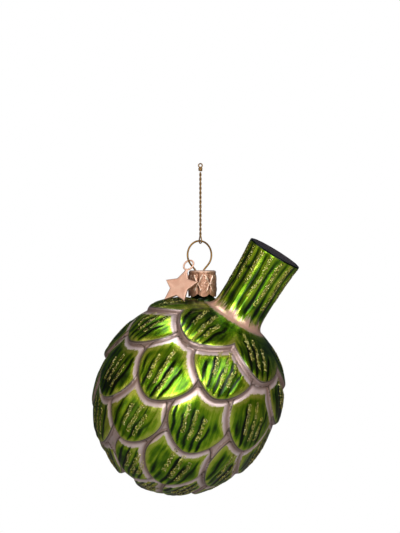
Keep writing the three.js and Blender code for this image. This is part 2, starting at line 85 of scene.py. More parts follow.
# Crown cap
CAP_TOP_RADIUS = 5.25
CAP_FOOT_RADIUS = 5.5
CAP_HEIGHT = 10.2
CAP_SHEET = 0.4
CAP_CORNER = 0.8
CAP_SHIFT = 1.3
CAP_LOBES = 7
CAP_LOBE_TURN = 6
LOBE_BULGE = 0.35
BULGE_ABOVE = 0.15
SCALLOP_DEPTH = 1.1
SLOT_LENGTH = 7.6
SLOT_WIDTH = 1.4
LOBE_WIDTH = 4.8
CREASE_DEPTH = 0.3
RIDGE_HEIGHT = 0.22
RIDGE_WIDTH = 0.34
RIDGE_SLOPE = 0.44  # across over down
CAP_COLUMNS = 336
CAP_LEVELS = 54  # down the outside of its wall

# Neck
NECK_RADIUS = 4.5
NECK_WALL = 0.9
NECK_FLARE = 1.1
NECK_SUNK = 1.8
NECK_TO_RIGHT = 8.8
NECK_TO_BACK = 1.0
CAP_ABOVE_GLASS = 0.75
BORE_DEPTH = 7  # of the sunk bore that shows down the neck, painted dark as painted shade
BORE_SIDES = 32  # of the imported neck, whose flats the wire's legs clear
NECK_COLUMNS = 96

# Head
HEAD_RADIUS = 36.3
HEAD_TOP = 37.9
HEAD_BOTTOM = 41.0
TOP_FULLNESS = 2.25
BOTTOM_FULLNESS = 1.95
AXIS_TO_RIGHT = 31.6
AXIS_TO_FRONT = 6.5

# Bracts
RELIEF = 2.4
SHOULDER_RELIEF = 1.3
SHOULDER_FROM = 24
SHOULDER_TO = 46
BRACT_HALF_WIDTH = 14
BRACT_CROWDING = 0.45
BRACT_LEAST_HALF_WIDTH = 5
BRACT_TAPER = 1.06
BRACT_ROOT = 1.08
BRACT_SHARPNESS = 1.65
BRACT_ARC = 37
BRACT_EDGE = 2.4
BRACT_ROOT_HEIGHT = 0.22
BRACT_FULLNESS = 2.6
LEAN_FROM = -5
LEAN_FULL = 30
LEAN_FADE = 100
LEAN_TO = 150
BRACT_ROWS = [  # degrees from the stem's axis, lean of the bracts at the right, degrees round the head
    (57, 0, [-82, -20, 43, 101, 160, 220]),
    (77.5, -9, [-130, -59, 15, 87, 159]),
    (98.5, -14, [-95, -21, 56, 125, 195]),
    (116, -14, [-57, 19, 84, 161, 231]),
    (132, -14, [-100, -26, 66, 128, 194]),
    (147.5, -14, [-64, 25, 96, 161, 228]),
    (159, -9, [-105, -10, 60, 128, 192]),
    (170, 0, [-60, 25, 97, 169, 241]),
]
SEAM_ROUNDING = 0.5  # how far two faces melt into each other where they meet
LIP_DEPTH = 0.3  # of the groove under an upper bract's wall
LIP_WIDTH = 1.3
PAINT_TOP = 1.8  # half widths from the tip to where the lacquer ends
TOP_WALL = 0.8  # wider bare wall on the row next to the stem
PAINT_INSET = 1.0  # lacquer keeps off a bract's own edge
PAINT_OFF_UPPER = 1.9  # and off the edge of the bract above
PAINT_OFF_BARE = 1.7  # and, on glass with no bract, off every bract
BARE_HEIGHT = 0.02  # glass no higher than this has no bract
FAR = 50.0  # stands for the distance to an edge that isn't there
BRUSHED_ROUND_TO = 35  # nearer to the stem's axis the strokes go round it
FACE_RIBS = [-7.8, -3.9, 0, 3.9, 7.8]  # moulded along each bract
FACE_RIB_SHIFT = 1.2
FACE_RIB_HEIGHT = 0.2
FACE_RIB_WIDTH = 1.0
FACE_RIB_REACH = 24  # up a bract, for the longest rib
STROKE_AND_SHADE_OFFSET = 1.15  # of the dark line beside a rib: darker lacquer with painted shade of the groove there
FACE_SINK = 0.23  # so that the ribs stay inside the outline

# Stem
STEM_LENGTH = 29.3
STEM_RADIUS = 9.7
STEM_FOOT_FLARE = 0.8
STEM_FOOT_FADE = 3
STEM_FILLET = 0.9
STEM_END_FLARE = 1.3
STEM_END_FADE = 9
STEM_RIBS = 15
STEM_RIB_HEIGHT = 0.45
STEM_EDGE = 0.6
STEM_DISH = 0.8
SCAR_AZIMUTH = -42
SCAR_HEIGHT = 18.6
SCAR_SIZE = 3.2

# Glitter
FLAKE_SIZE = 0.18
STRIPE_WIDTH = 1.55
STEM_STRIPE_WIDTH = 1.4
STRIPES = [(8.0, 12.0), (6.4, 14.5), (6.4, 11.0)]  # lower end and length, on the three middle ribs
BRACT_FLAKES_PER_MM = 18
STEM_FLAKES_PER_MM = 20

# Star charm
STAR_RADIUS = 7.8
STAR_NOTCH = 0.54
STAR_THICKNESS = 0.9
STAR_EDGE = 0.28
STAR_COLUMNS = 400
EYELET_STEPS = 72
EYELET_SIDES = 16
EYELET_RADIUS = 2.1
EYELET_WIRE = 0.7
EYELET_ABOVE_STAR = 9.8
STALK_WIDTH = 1.3
CHARM_PLACE = 51
CHARM_CATCH = 40
CHARM_TURN = -38
CHARM_LEAN = -33
CHARM_ROLL = 5

# Fineness
HEAD_COLUMNS = 400
HEAD_ROWS = 172
STEM_ROWS = 40


def rotation(axis, degrees):
    """The 3 by 3 matrix that turns about the X, Y or Z axis."""
    cosine = math.cos(math.radians(degrees))
    sine = math.sin(math.radians(degrees))
    first, second = {"x": (1, 2), "y": (2, 0), "z": (0, 1)}[axis]
    matrix = np.eye(3)
    matrix[first, first] = matrix[second, second] = cosine
    matrix[first, second] = -sine
    matrix[second, first] = sine
    return matrix


def smooth(value, low, high):
    """0 below low, 1 above high, and a smooth S between."""
    share = np.clip((value - low) / (high - low), 0, 1)
    return share * share * (3 - 2 * share)


def unit(vectors):
    """Vectors at length 1."""
    return vectors / np.linalg.norm(vectors, axis=-1, keepdims=True)


def srgb(red, green, blue):
    """A colour of 0 to 255 a channel as the linear colour that a shader takes."""
    share = np.array([red, green, blue]) / 255
    linear = np.where(share > 0.04045, ((share + 0.055) / 1.055) ** 2.4, share / 12.92)
    return (*linear.tolist(), 1.0)


def circle(radius, turn, height=0.0):
    """Points at a radius, an angle from +X and a height; any of them may be a number or an array."""
    return np.stack(np.broadcast_arrays(radius * np.cos(turn), radius * np.sin(turn), height), axis=-1)


def from_front(radius, azimuth, height):
    """Points at a radius, an angle from the front towards the right and a height in the head's frame."""
    return np.stack(np.broadcast_arrays(radius * np.sin(azimuth), -radius * np.cos(azimuth), height), axis=-1)


# Levels and places down the hanging line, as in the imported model.
along_ring = np.array([math.cos(math.radians(RING_TURN)), math.sin(math.radians(RING_TURN)), 0])
across_ring = np.array([-along_ring[1], along_ring[0], 0])
knot_bottom = -(2 * EYE_RADIUS + STRAND_DIAMETER) - ((KNOT_WRAPS - 1) * KNOT_PITCH + KNOT_STRAND_RADIUS)
ring_top = knot_bottom - CORD_DROP
ring_centre = along_ring * RING_SHIFT + np.array([0, 0, ring_top - RING_RADIUS])
cap_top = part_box("crown_cap")[1][2] / MM
cap_foot = cap_top - CAP_HEIGHT
cap_axis = ring_centre * [1, 1, 0] + along_ring * CAP_SHIFT
bore_radius = NECK_RADIUS - NECK_WALL


# Meshes


def put_mesh(name, points, quads, triangles=()):
    """A mesh object from points in millimetres and faces, turned to face out, with smooth shading."""
    quads = np.asarray(quads, dtype=np.int32).reshape(-1, 4)
    triangles = np.asarray(triangles, dtype=np.int32).reshape(-1, 3)
    split = np.concatenate([triangles, quads[:, [0, 1, 2]], quads[:, [0, 2, 3]]])
    corners = points[split]
    volume = np.einsum("ij,ij->i", corners[:, 0], np.cross(corners[:, 1], corners[:, 2])).sum()
    if volume < 0:
        quads = quads[:, ::-1]
        triangles = triangles[:, ::-1]
    mesh = bpy.data.meshes.new(name)
    mesh.vertices.add(len(points))
    mesh.vertices.foreach_set("co", (points * MM).astype(np.float32).ravel())
    loops = np.concatenate([quads.ravel(), triangles.ravel()])
    sizes = np.concatenate([np.full(len(quads), 4), np.full(len(triangles), 3)])
    mesh.loops.add(len(loops))
    mesh.loops.foreach_set("vertex_index", loops.astype(np.int32))
    mesh.polygons.add(len(sizes))
    starts = np.concatenate([[0], np.cumsum(sizes)[:-1]])
    mesh.polygons.foreach_set("loop_start", starts.astype(np.int32))
    mesh.update(calc_edges=True)
    mesh.validate()
    mesh.shade_smooth()
    piece = bpy.data.objects.new(name, mesh)
    bpy.context.scene.collection.objects.link(piece)
    return piece


def grid_quads(rows, columns, closed=False):
    """Quads of a grid of rows by columns, round in its columns and, if closed, in its rows too."""
    row = np.arange(rows if closed else rows - 1)[:, None]
    column = np.arange(columns)[None, :]
    next_row = (row + 1) % rows
    next_column = (column + 1) % columns
    corners = [row * columns + column, row * columns + next_column]
    corners += [next_row * columns + next_column, next_row * columns + column]
    return np.stack(np.broadcast_arrays(*corners), axis=-1).reshape(-1, 4)


def fan(centre, ring):
    """Triangles from one point to a closed ring of points."""
    following = np.roll(ring, -1)
    return np.stack([np.full(len(ring), centre), ring, following], axis=1)


def closed_tube(sections):
    """Points, quads and triangles of rings of points (R, C, 3), closed at both ends by a middle point."""
    rings, columns = sections.shape[:2]
    points = np.concatenate([sections.reshape(-1, 3), sections[0].mean(0)[None], sections[-1].mean(0)[None]])
    first = np.arange(columns)
    last = first + (rings - 1) * columns
    ends = np.concatenate([fan(rings * columns, first[::-1]), fan(rings * columns + 1, last)])
    return points, grid_quads(rings, columns), ends


def with_ends(values):
    """A closed tube's values ring by ring, with those of its two middle points."""
    return np.concatenate([values, values[:1], values[-1:]])


def smooth_line(points, steps):
    """A curve through points, by centripetal Catmull-Rom, with steps + 1 points evenly along it."""
    points = np.asarray(points, dtype=float)
    ends = np.concatenate([[2 * points[0] - points[1]], points, [2 * points[-1] - points[-2]]])
    pieces = []
    for index in range(1, len(ends) - 2):
        four = ends[index - 1 : index + 3]
        knots = np.concatenate([[0], np.cumsum(np.linalg.norm(np.diff(four, axis=0), axis=1) ** 0.5)])
        time = np.linspace(knots[1], knots[2], 24, endpoint=False)[:, None]
        pieces.append(barycentric(four, knots, time))
    line = np.concatenate([*pieces, points[-1][None]])
    length = np.concatenate([[0], np.cumsum(np.linalg.norm(np.diff(line, axis=0), axis=1))])
    at = np.linspace(0, length[-1], steps + 1)
    return np.stack([np.interp(at, length, line[:, axis]) for axis in range(3)], axis=1)


def barycentric(four, knots, time):
    """The Catmull-Rom point at each time: straight mixes of the four points, mixed twice more."""

    def mixed(low, high, start, end):
        """Low at the start, high at the end, and in a straight line between."""
        return (low * (end - time) + high * (time - start)) / (end - start)

    first = [mixed(four[i], four[i + 1], knots[i], knots[i + 1]) for i in range(3)]
    second = [mixed(first[i], first[i + 1], knots[i], knots[i + 2]) for i in range(2)]
    return mixed(second[0], second[1], knots[1], knots[2])


def frames_along(line):
    """Two unit directions across a line at each of its points, carried along it with the least twist."""
    tangent = unit(np.gradient(line, axis=0))
    side = np.empty_like(line)
    start = np.cross(tangent[0], [0, 1, 0])
    if np.linalg.norm(start) < 0.1:
        start = np.cross(tangent[0], [1, 0, 0])
    current = start
    for index, ahead in enumerate(tangent):
        current = current - ahead * (current @ ahead)
        current = current / np.linalg.norm(current)
        side[index] = current
    return side, np.cross(tangent, side)


def tube_rings(line, radius, sides):
    """Rings of points round a line: the line plus radius times the cosine and sine of the angle."""
    side, other = frames_along(line)
    angle = np.linspace(0, 2 * np.pi, sides, endpoint=False)
    radius = np.broadcast_to(radius, (len(line), sides))[..., None]
    ring = np.cos(angle)[None, :, None] * side[:, None] + np.sin(angle)[None, :, None] * other[:, None]
    return line[:, None] + radius * ring


def torus(line, middle, axis, radius, sides):
    """A round bar along a closed ring of points about a middle, and the way out at each of its points."""
    around = np.linspace(0, 2 * np.pi, sides, endpoint=False)[None, :, None]
    outward = unit(line - middle)[:, None] * np.cos(around) + np.array(axis) * np.sin(around)
    points = (line[:, None] + radius * outward).reshape(-1, 3)
    return (points, grid_quads(len(line), sides, closed=True), np.empty((0, 3))), outward.reshape(-1, 3)


def dressed(piece, material, **looks):
    """The piece with its material and what that reads: one number or one vector for each point, or one for
    all points."""
    for name, values in looks.items():
        kind, field = ("FLOAT_VECTOR", "vector") if np.ndim(values) == 2 else ("FLOAT", "value")
        if np.ndim(values) == 0:
            values = np.full(len(piece.data.vertices), values)
        layer = piece.data.attributes.new(name, kind, "POINT")
        layer.data.foreach_set(field, np.asarray(values).astype(np.float32).ravel())
    piece.data.materials.append(material)
    return piece


def joined(parts):
    """Several (points, quads, triangles) as one."""
    points = np.concatenate([part[0] for part in parts])
    starts = np.cumsum([0] + [len(part[0]) for part in parts[:-1]])
    quads = [np.asarray(part[1]).reshape(-1, 4) + start for part, start in zip(parts, starts)]
    triangles = [np.asarray(part[2]).reshape(-1, 3) + start for part, start in zip(parts, starts)]
    return points, np.concatenate(quads), np.concatenate(triangles)


# Finishes


class Finish:
    """A material and short calls that add nodes to it."""

    def __init__(self, name, **sockets):
        self.material = bpy.data.materials.new(name)
        self.material.use_nodes = True
        self.tree = self.material.node_tree
        self.shader = self.tree.nodes["Principled BSDF"]
        self.set(**sockets)

    def plug(self, socket, value):
        """Links a socket to another or sets its value."""
        if isinstance(value, bpy.types.NodeSocket):
            self.tree.links.new(value, socket)
        else:
            socket.default_value = value

    def set(self, **sockets):
        """Sets or links the shader's sockets; an underscore in a name is a space."""
        for name, value in sockets.items():
            self.plug(self.shader.inputs[name.replace("_", " ")], value)

    def node(self, kind, inputs, **settings):
        """A shader node with its inputs plugged and its settings set."""
        made = self.tree.nodes.new("ShaderNode" + kind)
        for name, value in settings.items():
            setattr(made, name, value)
        for name, value in inputs.items():
            self.plug(made.inputs[name], value)
        return made

    def attribute(self, name, output="Fac"):
        """What dressed() gave the piece's points under a name."""
        return self.node("Attribute", {}, attribute_name=name).outputs[output]

    def place(self):
        """The place on the object, in metres."""
        return self.node("TexCoord", {}).outputs["Object"]

    def plus(self, first, second):
        """The sum of two sockets or numbers."""
        return self.node("Math", {0: first, 1: second}, operation="ADD").outputs[0]

    def times(self, first, second):
        """The product of two sockets or numbers."""
        return self.node("Math", {0: first, 1: second}, operation="MULTIPLY").outputs[0]

    def noise(self, place, scale, detail, roughness, distortion=0.0):
        """Cloudy noise from 0 to 1, with so many features a unit of place."""
        inputs = {"Vector": place, "Scale": scale, "Detail": detail}
        inputs |= {"Roughness": roughness, "Distortion": distortion}
        return self.node("TexNoise", inputs).outputs["Fac"]

    def between(self, value, low, high, to_low=0.0, to_high=1.0):
        """A value's place between low and high, smooth at both ends, as to_low to to_high."""
        inputs = {"Value": value, "From Min": low, "From Max": high, "To Min": to_low, "To Max": to_high}
        return self.node("MapRange", inputs, interpolation_type="SMOOTHSTEP").outputs["Result"]

    def ramp(self, value, stops):
        """The colour at a value, from stops whose first two are the ramp's own ends."""
        made = self.node("ValToRGB", {"Fac": value})
        elements = made.color_ramp.elements
        for index, (position, colour) in enumerate(stops):
            element = elements[index] if index < 2 else elements.new(position)
            element.position = position
            element.color = colour
        return made.outputs["Color"]

    def mix(self, factor, first, second):
        """The first colour at factor 0 and the second at 1."""
        made = self.node("Mix", {}, data_type="RGBA")
        self.plug(made.inputs[0], factor)
        self.plug(made.inputs[6], first)
        self.plug(made.inputs[7], second)
        return made.outputs[2]

    def bump(self, height, strength, distance):
        """The surface's normal over small bumps, a distance in metres high."""
        inputs = {"Height": height, "Strength": strength, "Distance": distance}
        return self.node("Bump", inputs).outputs["Normal"]


def lacquered_glass():
    """Green lacquer brushed over silvered glass, thin at its ragged edges, and pearl paint in the grooves;
    painted shade beside the ribs, in the grooves and down the neck's bore, and a painted dark reflection in
    the stem's dish.
    """
    finish = Finish("lacquered_glass", Coat_Weight=0.18, Coat_Roughness=0.1)
    brush = finish.attribute("brush", "Vector")
    paint = finish.attribute("paint")
    shade = finish.attribute("shade")
    hairs = finish.noise(brush, 2.6, 3.0, 0.7)
    strokes = finish.noise(brush, 0.5, 3.0, 0.6, 0.3)
    clouds = finish.noise(finish.place(), 90.0, 3.0, 0.6)
    inset = finish.attribute("inset")
    raggedness = finish.between(inset, 1.5, 4.5, 0.6, 2.8)
    edge = finish.plus(paint, finish.times(finish.plus(hairs, -0.5), raggedness))
    covered = finish.between(edge, -0.1, 0.4)
    thin = finish.between(edge, 0.2, 3.0, 0.22, 0.0)
    depth_and_shade = finish.plus(finish.times(strokes, 0.56), finish.times(clouds, 0.56))
    # lacquer thickness, less painted shade from the shade attribute
    depth_and_shade = finish.plus(finish.plus(depth_and_shade, thin), finish.times(shade, -0.46))
    tone = finish.between(depth_and_shade, 0.22, 0.82)
    green = finish.ramp(
        tone,
        [
            (0.0, srgb(8, 22, 8)),
            (1.0, srgb(192, 208, 86)),
            (0.2, srgb(28, 54, 6)),
            (0.42, srgb(62, 104, 6)),
            (0.64, srgb(100, 148, 8)),
            (0.84, srgb(148, 184, 32)),
        ],
    )
    warm = finish.noise(finish.place(), 130.0, 3.0, 0.6)
    pearl = finish.ramp(warm, [(0.3, srgb(218, 198, 190)), (0.7, srgb(238, 226, 230))])
    valley = finish.attribute("valley")
    # painted shade: the pearl turns brown in the grooves under the walls and on bare glass
    pearl = finish.mix(finish.times(valley, 0.75), pearl, srgb(112, 78, 54))
    cream = finish.attribute("cream")
    pearl = finish.mix(cream, pearl, srgb(222, 182, 162))
    colour = finish.mix(covered, pearl, green)
    outline = finish.times(finish.between(inset, 0.5, 0.85), finish.between(inset, 0.95, 1.4, 1.0, 0.0))
    colour = finish.mix(finish.times(outline, 0.8), colour, srgb(38, 40, 18))
    hollow = finish.attribute("hollow")
    # painted shade down the neck's bore, and a painted dark reflection in the stem's dish
    colour = finish.mix(hollow, colour, srgb(14, 18, 34))
    metallic = finish.between(covered, 0.0, 1.0, 0.5, 0.9)
    roughness = finish.between(covered, 0.0, 1.0, 0.32, 0.27)
    roughness = finish.plus(roughness, finish.times(hollow, -0.16))
    grain = finish.bump(hairs, 0.12, 0.0004)
    finish.set(Base_Color=colour, Metallic=metallic, Roughness=roughness, Normal=grain)
    return finish.material


def rose_gold_cap():
    """Stamped sheet in rose gold: bright on the raised ridges, with brown patina in the pits."""
    finish = Finish("rose_gold_cap", Metallic=0.5)
    raised = finish.attribute("raised")
    spots = finish.noise(finish.place(), 900.0, 3.0, 0.6)
    level = finish.plus(raised, finish.times(finish.plus(spots, -0.5), 0.4))
    ends = [(0.0, srgb(96, 60, 38)), (1.0, srgb(250, 226, 204))]
    colour = finish.ramp(level, [*ends, (0.28, srgb(148, 106, 80)), (0.55, srgb(180, 136, 110))])
    roughness = finish.between(level, 0.1, 0.9, 0.5, 0.3)
    dents = finish.bump(finish.noise(finish.place(), 1100.0, 2.0, 0.5), 0.35, 0.00012)
    finish.set(Base_Color=colour, Roughness=roughness, Normal=dents)
    return finish.material


def antique_wire():
    """Drawn brass wire, tarnished a little darker in long patches."""
    finish = Finish("hanger_wire", Metallic=0.7)
    along = finish.attribute("brush", "Vector")
    patches = finish.noise(along, 0.2, 2.0, 0.5)
    colour = finish.ramp(patches, [(0.3, srgb(132, 96, 44)), (0.72, srgb(158, 122, 62))])
    roughness = finish.between(patches, 0.3, 0.7, 0.42, 0.36)
    finish.set(Base_Color=colour, Roughness=roughness)
    return finish.material


def satin_charm():
    """Cast rose gold, satin brushed across the star, worn brighter at its edges and brown on its sides, with
    painted shade on the edges facing up and left and on the eyelet's upper left side.
    """
    finish = Finish("charm", Metallic=0.4)
    brushed = finish.noise(finish.attribute("brush", "Vector"), 5.0, 4.0, 0.7)
    cloudy = finish.noise(finish.place(), 300.0, 3.0, 0.55)
    level = finish.plus(finish.times(brushed, 0.45), finish.times(cloudy, 0.55))
    colour = finish.ramp(level, [(0.3, srgb(236, 180, 152)), (0.7, srgb(253, 214, 188))])
    worn = finish.attribute("worn")
    colour = finish.mix(worn, colour, srgb(246, 210, 188))
    side = finish.attribute("side")
    # painted shade on edges facing up and left, and brown on the sides
    colour = finish.mix(side, colour, srgb(122, 74, 48))
    roughness = finish.between(brushed, 0.25, 0.75, 0.52, 0.42)
    lines = finish.bump(brushed, 0.25, 0.00005)
    finish.set(Base_Color=colour, Roughness=roughness, Normal=lines)
    return finish.material


def gold_yarn():
    """Metallic gold yarn: fine filaments along each strand, brown between them, and painted shade where the
    strands face each other.
    """
    finish = Finish("cord", Metallic=0.55, Sheen_Weight=0.3, Sheen_Roughness=0.4)
    filaments = finish.noise(finish.attribute("brush", "Vector"), 3.0, 3.0, 0.65)
    ends = [(0.25, srgb(60, 36, 14)), (0.75, srgb(226, 196, 140))]
    colour = finish.ramp(filaments, [*ends, (0.5, srgb(150, 116, 66))])
    inside = finish.attribute("inside")
    # painted shade where the strands face each other and towards the knot's middle
    colour = finish.mix(inside, colour, srgb(44, 24, 10))
    roughness = finish.between(filaments, 0.2, 0.8, 0.62, 0.4)
    threads = finish.bump(filaments, 0.6, 0.00008)
    finish.set(Base_Color=colour, Roughness=roughness, Normal=threads)
    return finish.material


def glitter():
    """Gold glitter: each flake a tone of its own, from olive to pale champagne."""
    finish = Finish("glitter", Metallic=0.8)
    tone = finish.attribute("tone")
    ends = [(0.0, srgb(34, 42, 10)), (1.0, srgb(255, 250, 192))]
    colour = finish.ramp(tone, [*ends, (0.34, srgb(98, 106, 28)), (0.6, srgb(222, 214, 92))])
    fine = finish.noise(finish.place(), 2500.0, 1.0, 0.5)
    finish.set(Base_Color=colour, Roughness=finish.between(fine, 0.3, 0.7, 0.16, 0.34))
    return finish.material


# The glass


def outline_radius(polar):
    """Distance from the head's centre over the bract tips: a superellipse, fuller above than below."""
    upper = np.cos(polar) > 0
    length = np.where(upper, HEAD_TOP, HEAD_BOTTOM)
    fullness = np.where(upper, TOP_FULLNESS, BOTTOM_FULLNESS)
    across = (np.sin(polar) / HEAD_RADIUS) ** fullness
    lengthways = (np.abs(np.cos(polar)) / length) ** fullness
    return (across + lengthways) ** (-1 / fullness)


def direction(polar, azimuth):
    """The unit vector at an angle from the stem's axis and an azimuth from the front towards the right."""
    return from_front(np.sin(polar), azimuth, np.cos(polar))


def bract_table():
    """The bracts' tips, the directions up and across them, their half widths, heights and rows."""
    polar = np.radians([angle for angle, _, azimuths in BRACT_ROWS for _ in azimuths])
    degrees = np.array([value for _, _, azimuths in BRACT_ROWS for value in azimuths])
    azimuth = np.radians(degrees)
    row = np.array([index for index, (_, _, azimuths) in enumerate(BRACT_ROWS) for _ in azimuths])
    leaning = smooth(degrees, LEAN_FROM, LEAN_FULL) * (1 - smooth(degrees, LEAN_FADE, LEAN_TO))
    lean = np.radians([angle for _, angle, azimuths in BRACT_ROWS for _ in azimuths]) * leaning
    room = BRACT_LEAST_HALF_WIDTH + BRACT_CROWDING * BRACT_ARC * np.sin(polar)
    half = np.minimum(BRACT_HALF_WIDTH, room)
    height = RELIEF * (1 + half / BRACT_HALF_WIDTH) / 2
    across = np.stack([np.cos(azimuth), np.sin(azimuth), 0 * azimuth], axis=-1)
    tip = direction(polar, azimuth)
    up = direction(polar - np.pi / 2, azimuth)
    cosine, sine = np.cos(lean)[:, None], np.sin(lean)[:, None]
    return tip, up * cosine + across * sine, across * cosine - up * sine, half, height, row


tips, ups, acrosses, halves, heights, rows = bract_table()
random = np.random.default_rng(41)
each_rib = (len(halves), len(FACE_RIBS))
rib_places = FACE_RIBS + random.uniform(-FACE_RIB_SHIFT, FACE_RIB_SHIFT, (len(halves), 1))
rib_places = rib_places + random.uniform(-0.3, 0.3, each_rib)
rib_lengths = random.uniform(0.6, 1.0, each_rib)
stroke_and_shade_strengths = random.choice([0.4, 0.7, 1.0], each_rib)
stroke_and_shade_widths = random.uniform(0.35, 0.6, each_rib)
face_turns = random.uniform(-0.10, 0.10, len(halves))


def shoulder_height(polar):
    """Height of the plain glass round the stem and the neck, which fades to nothing under the first row."""
    return SHOULDER_RELIEF * (1 - smooth(polar, math.radians(SHOULDER_FROM), math.radians(SHOULDER_TO)))


def on_bracts(ways):
    """For unit directions (N, 3): the place across and up each bract, and the share of its outline, which is
    one superellipse below its widest place and a fuller one above it."""
    across = BRACT_ARC * np.arcsin(np.clip(ways @ acrosses.T, -1, 1))
    along = BRACT_ARC * np.arctan2(ways @ ups.T, ways @ tips.T)
    from_widest = along - BRACT_TAPER * halves
    wide = np.abs(across) / halves
    down = np.abs(from_widest) / (BRACT_TAPER * halves)
    below = (wide**BRACT_SHARPNESS + down**BRACT_SHARPNESS) ** (1 / BRACT_SHARPNESS)
    up = np.abs(from_widest / (BRACT_ROOT * halves))
    above = (wide**BRACT_FULLNESS + up**BRACT_FULLNESS) ** (1 / BRACT_FULLNESS)
    return across, along, np.where(from_widest < 0, below, above)


def rib_lines(bract, along):
    """Where the ribs lie across a bract, at a place up it: they draw together towards its tip."""
    narrowing = 0.62 + 0.38 * np.clip(along / (BRACT_TAPER * halves[bract]), 0, 1)
    places = rib_places[bract] * (halves[bract] / BRACT_HALF_WIDTH * narrowing)[:, None]
    return places + (0.12 * np.sin(0.9 * along + bract) - face_turns[bract] * along)[:, None]


def ribs_at(bract, across, along, inset):
    """Height of the moulded ribs, which are rounded bars, and how dark a place is in the line beside one,
    darker lacquer with painted shade of the groove there, on a bract and at a place across and up it."""
    offset = across[:, None] - rib_lines(bract, along)
    to_end = rib_lengths[bract] * FACE_RIB_REACH - along[:, None]
    reach = smooth(inset, 0.4, 2.4)[:, None] * smooth(to_end, 0, 4)
    ridge = np.exp(-((offset / FACE_RIB_WIDTH) ** 2)) * reach
    wander = 0.2 * np.sin(0.55 * along + 2.1 * bract)[:, None]
    # darker lacquer beside each rib, with painted shade of the shallow groove cut there
    stroke = np.exp(-(((offset + STROKE_AND_SHADE_OFFSET + wander) / stroke_and_shade_widths[bract]) ** 2)) * reach
    groove = (0.4 * stroke_and_shade_strengths[bract] * stroke).sum(1)
    dark = (stroke_and_shade_strengths[bract] * stroke).sum(1)
    return FACE_RIB_HEIGHT * (ridge.sum(1) - groove), np.clip(dark, 0, 1)


def head_places(ways):
    """For unit directions in the head's frame: which bract shows there, or whether the shoulder does, and
    where on it each place lies."""
    at = SimpleNamespace(ways=ways, polar=np.arccos(np.clip(ways[:, 2], -1, 1)))
    across, along, share = on_bracts(ways)
    inset = (1 - share) * BRACT_HALF_WIDTH
    edge = 1 - np.clip(inset / BRACT_EDGE, 0, 1)
    slope = 1 + (BRACT_ROOT_HEIGHT - 1) * along / (halves * (BRACT_TAPER + BRACT_ROOT))
    raised = np.where(share < 1, heights * slope * np.sqrt(1 - edge * edge), 0)
    levels = np.concatenate([raised, shoulder_height(at.polar)[:, None]], axis=1)
    order = np.argsort(levels, axis=1)
    pick = np.arange(len(ways))
    at.on_shoulder = order[:, -1] == len(halves)
    at.highest = levels[pick, order[:, -1]]
    at.second = levels[pick, order[:, -2]]
    at.bract = np.where(at.on_shoulder, 0, order[:, -1])
    at.row = np.where(at.on_shoulder, 0, rows[at.bract])
    at.across = across[pick, at.bract]
    at.along = along[pick, at.bract]
    at.inset = np.where(at.on_shoulder, FAR, inset[pick, at.bract])
    outside = (share - 1) * halves
    upper = rows[None, :] < at.row[:, None]
    at.from_upper = np.where(upper, np.maximum(outside, 0), FAR).min(1)
    at.from_nearest = outside.min(1)
    at.rib, at.stroke = ribs_at(at.bract, at.across, at.along, np.minimum(at.inset, at.from_upper))
    return at


def head_radius(at):
    """Distance of the glass from the head's centre: the highest bract melts into the next highest where
    they meet, and a shallow lip lies under an upper bract's wall."""
    melt = np.clip(1 - (at.highest - at.second) / SEAM_ROUNDING, 0, 1) ** 2 * SEAM_ROUNDING / 4
    rib = np.where(at.on_shoulder, 0, at.rib)
    lip = LIP_DEPTH * np.exp(-((at.from_upper / LIP_WIDTH) ** 2))
    return outline_radius(at.polar) - RELIEF + at.highest + melt + rib - FACE_SINK - lip


def head_brush(at, collar):
    """Places along the strokes of the brush: round the shoulder, and up each bract with a turn of its own."""
    azimuth = np.arctan2(at.ways[:, 0], -at.ways[:, 1])
    over = at.across + face_turns[at.bract] * at.along + 60 * at.bract
    on_bract = np.stack([over, at.along * 0.1, 7.3 * at.bract], axis=-1)
    by_stem = at.on_shoulder | (at.polar < math.radians(BRUSHED_ROUND_TO))
    return np.where(by_stem[:, None], circle(20, azimuth, collar * 0.1), on_bract)


def head_looks(at):
    """What the finish needs on the head: strokes, how far the lacquer's edge is, and the painted shade beside
    the ribs and in the grooves.
    """
    collar = (at.polar - foot_polar) * BRACT_ARC
    inset = at.inset - TOP_WALL * (at.row == 0)
    off_edges = np.minimum(inset - PAINT_INSET, at.from_upper - PAINT_OFF_UPPER)
    below_root = PAINT_TOP * halves[at.bract] - at.along
    off_collar = (collar - 1.4) * 0.45
    on_bract = np.minimum(np.minimum(off_edges, below_root), off_collar)
    bare = at.highest < BARE_HEIGHT
    paint = np.where(at.on_shoulder, np.minimum(off_collar, 6.0), on_bract)
    paint = np.where(bare, at.from_nearest - PAINT_OFF_BARE, paint)
    # painted shade: brown under each upper bract's wall, along each bract's own edge, and on bare glass
    # between bracts
    valley = np.exp(-(at.from_upper**2)) + np.exp(-((inset / 1.3) ** 2)) + 0.6 * bare
    return {
        "brush": head_brush(at, collar),
        "paint": paint,
        # painted shade: the dark lines beside the ribs, and the shoulder darker all over
        "shade": np.where(at.on_shoulder, 0.25, at.stroke),
        "valley": np.clip(valley, 0, 1),
        "cream": 1 - smooth(collar, 0.5, 3.6),
        "inset": np.clip(inset, 0, 6),
    }


def stem_radius(from_foot):
    """Radius over the stem's ribs: rounded into the shoulder at its foot and flared at both ends."""
    flare = STEM_FOOT_FLARE * np.exp(-from_foot / STEM_FOOT_FADE)
    foot = flare + STEM_FILLET * np.exp(-from_foot / STEM_FILLET)
    end = STEM_END_FLARE * np.exp((from_foot - STEM_LENGTH) / STEM_END_FADE)
    return STEM_RADIUS + foot + end


foot_polar = math.asin(stem_radius(0.0) / (HEAD_TOP - RELIEF + SHOULDER_RELIEF))
foot_height = float(outline_radius(foot_polar) - RELIEF + shoulder_height(foot_polar)) * math.cos(foot_polar)


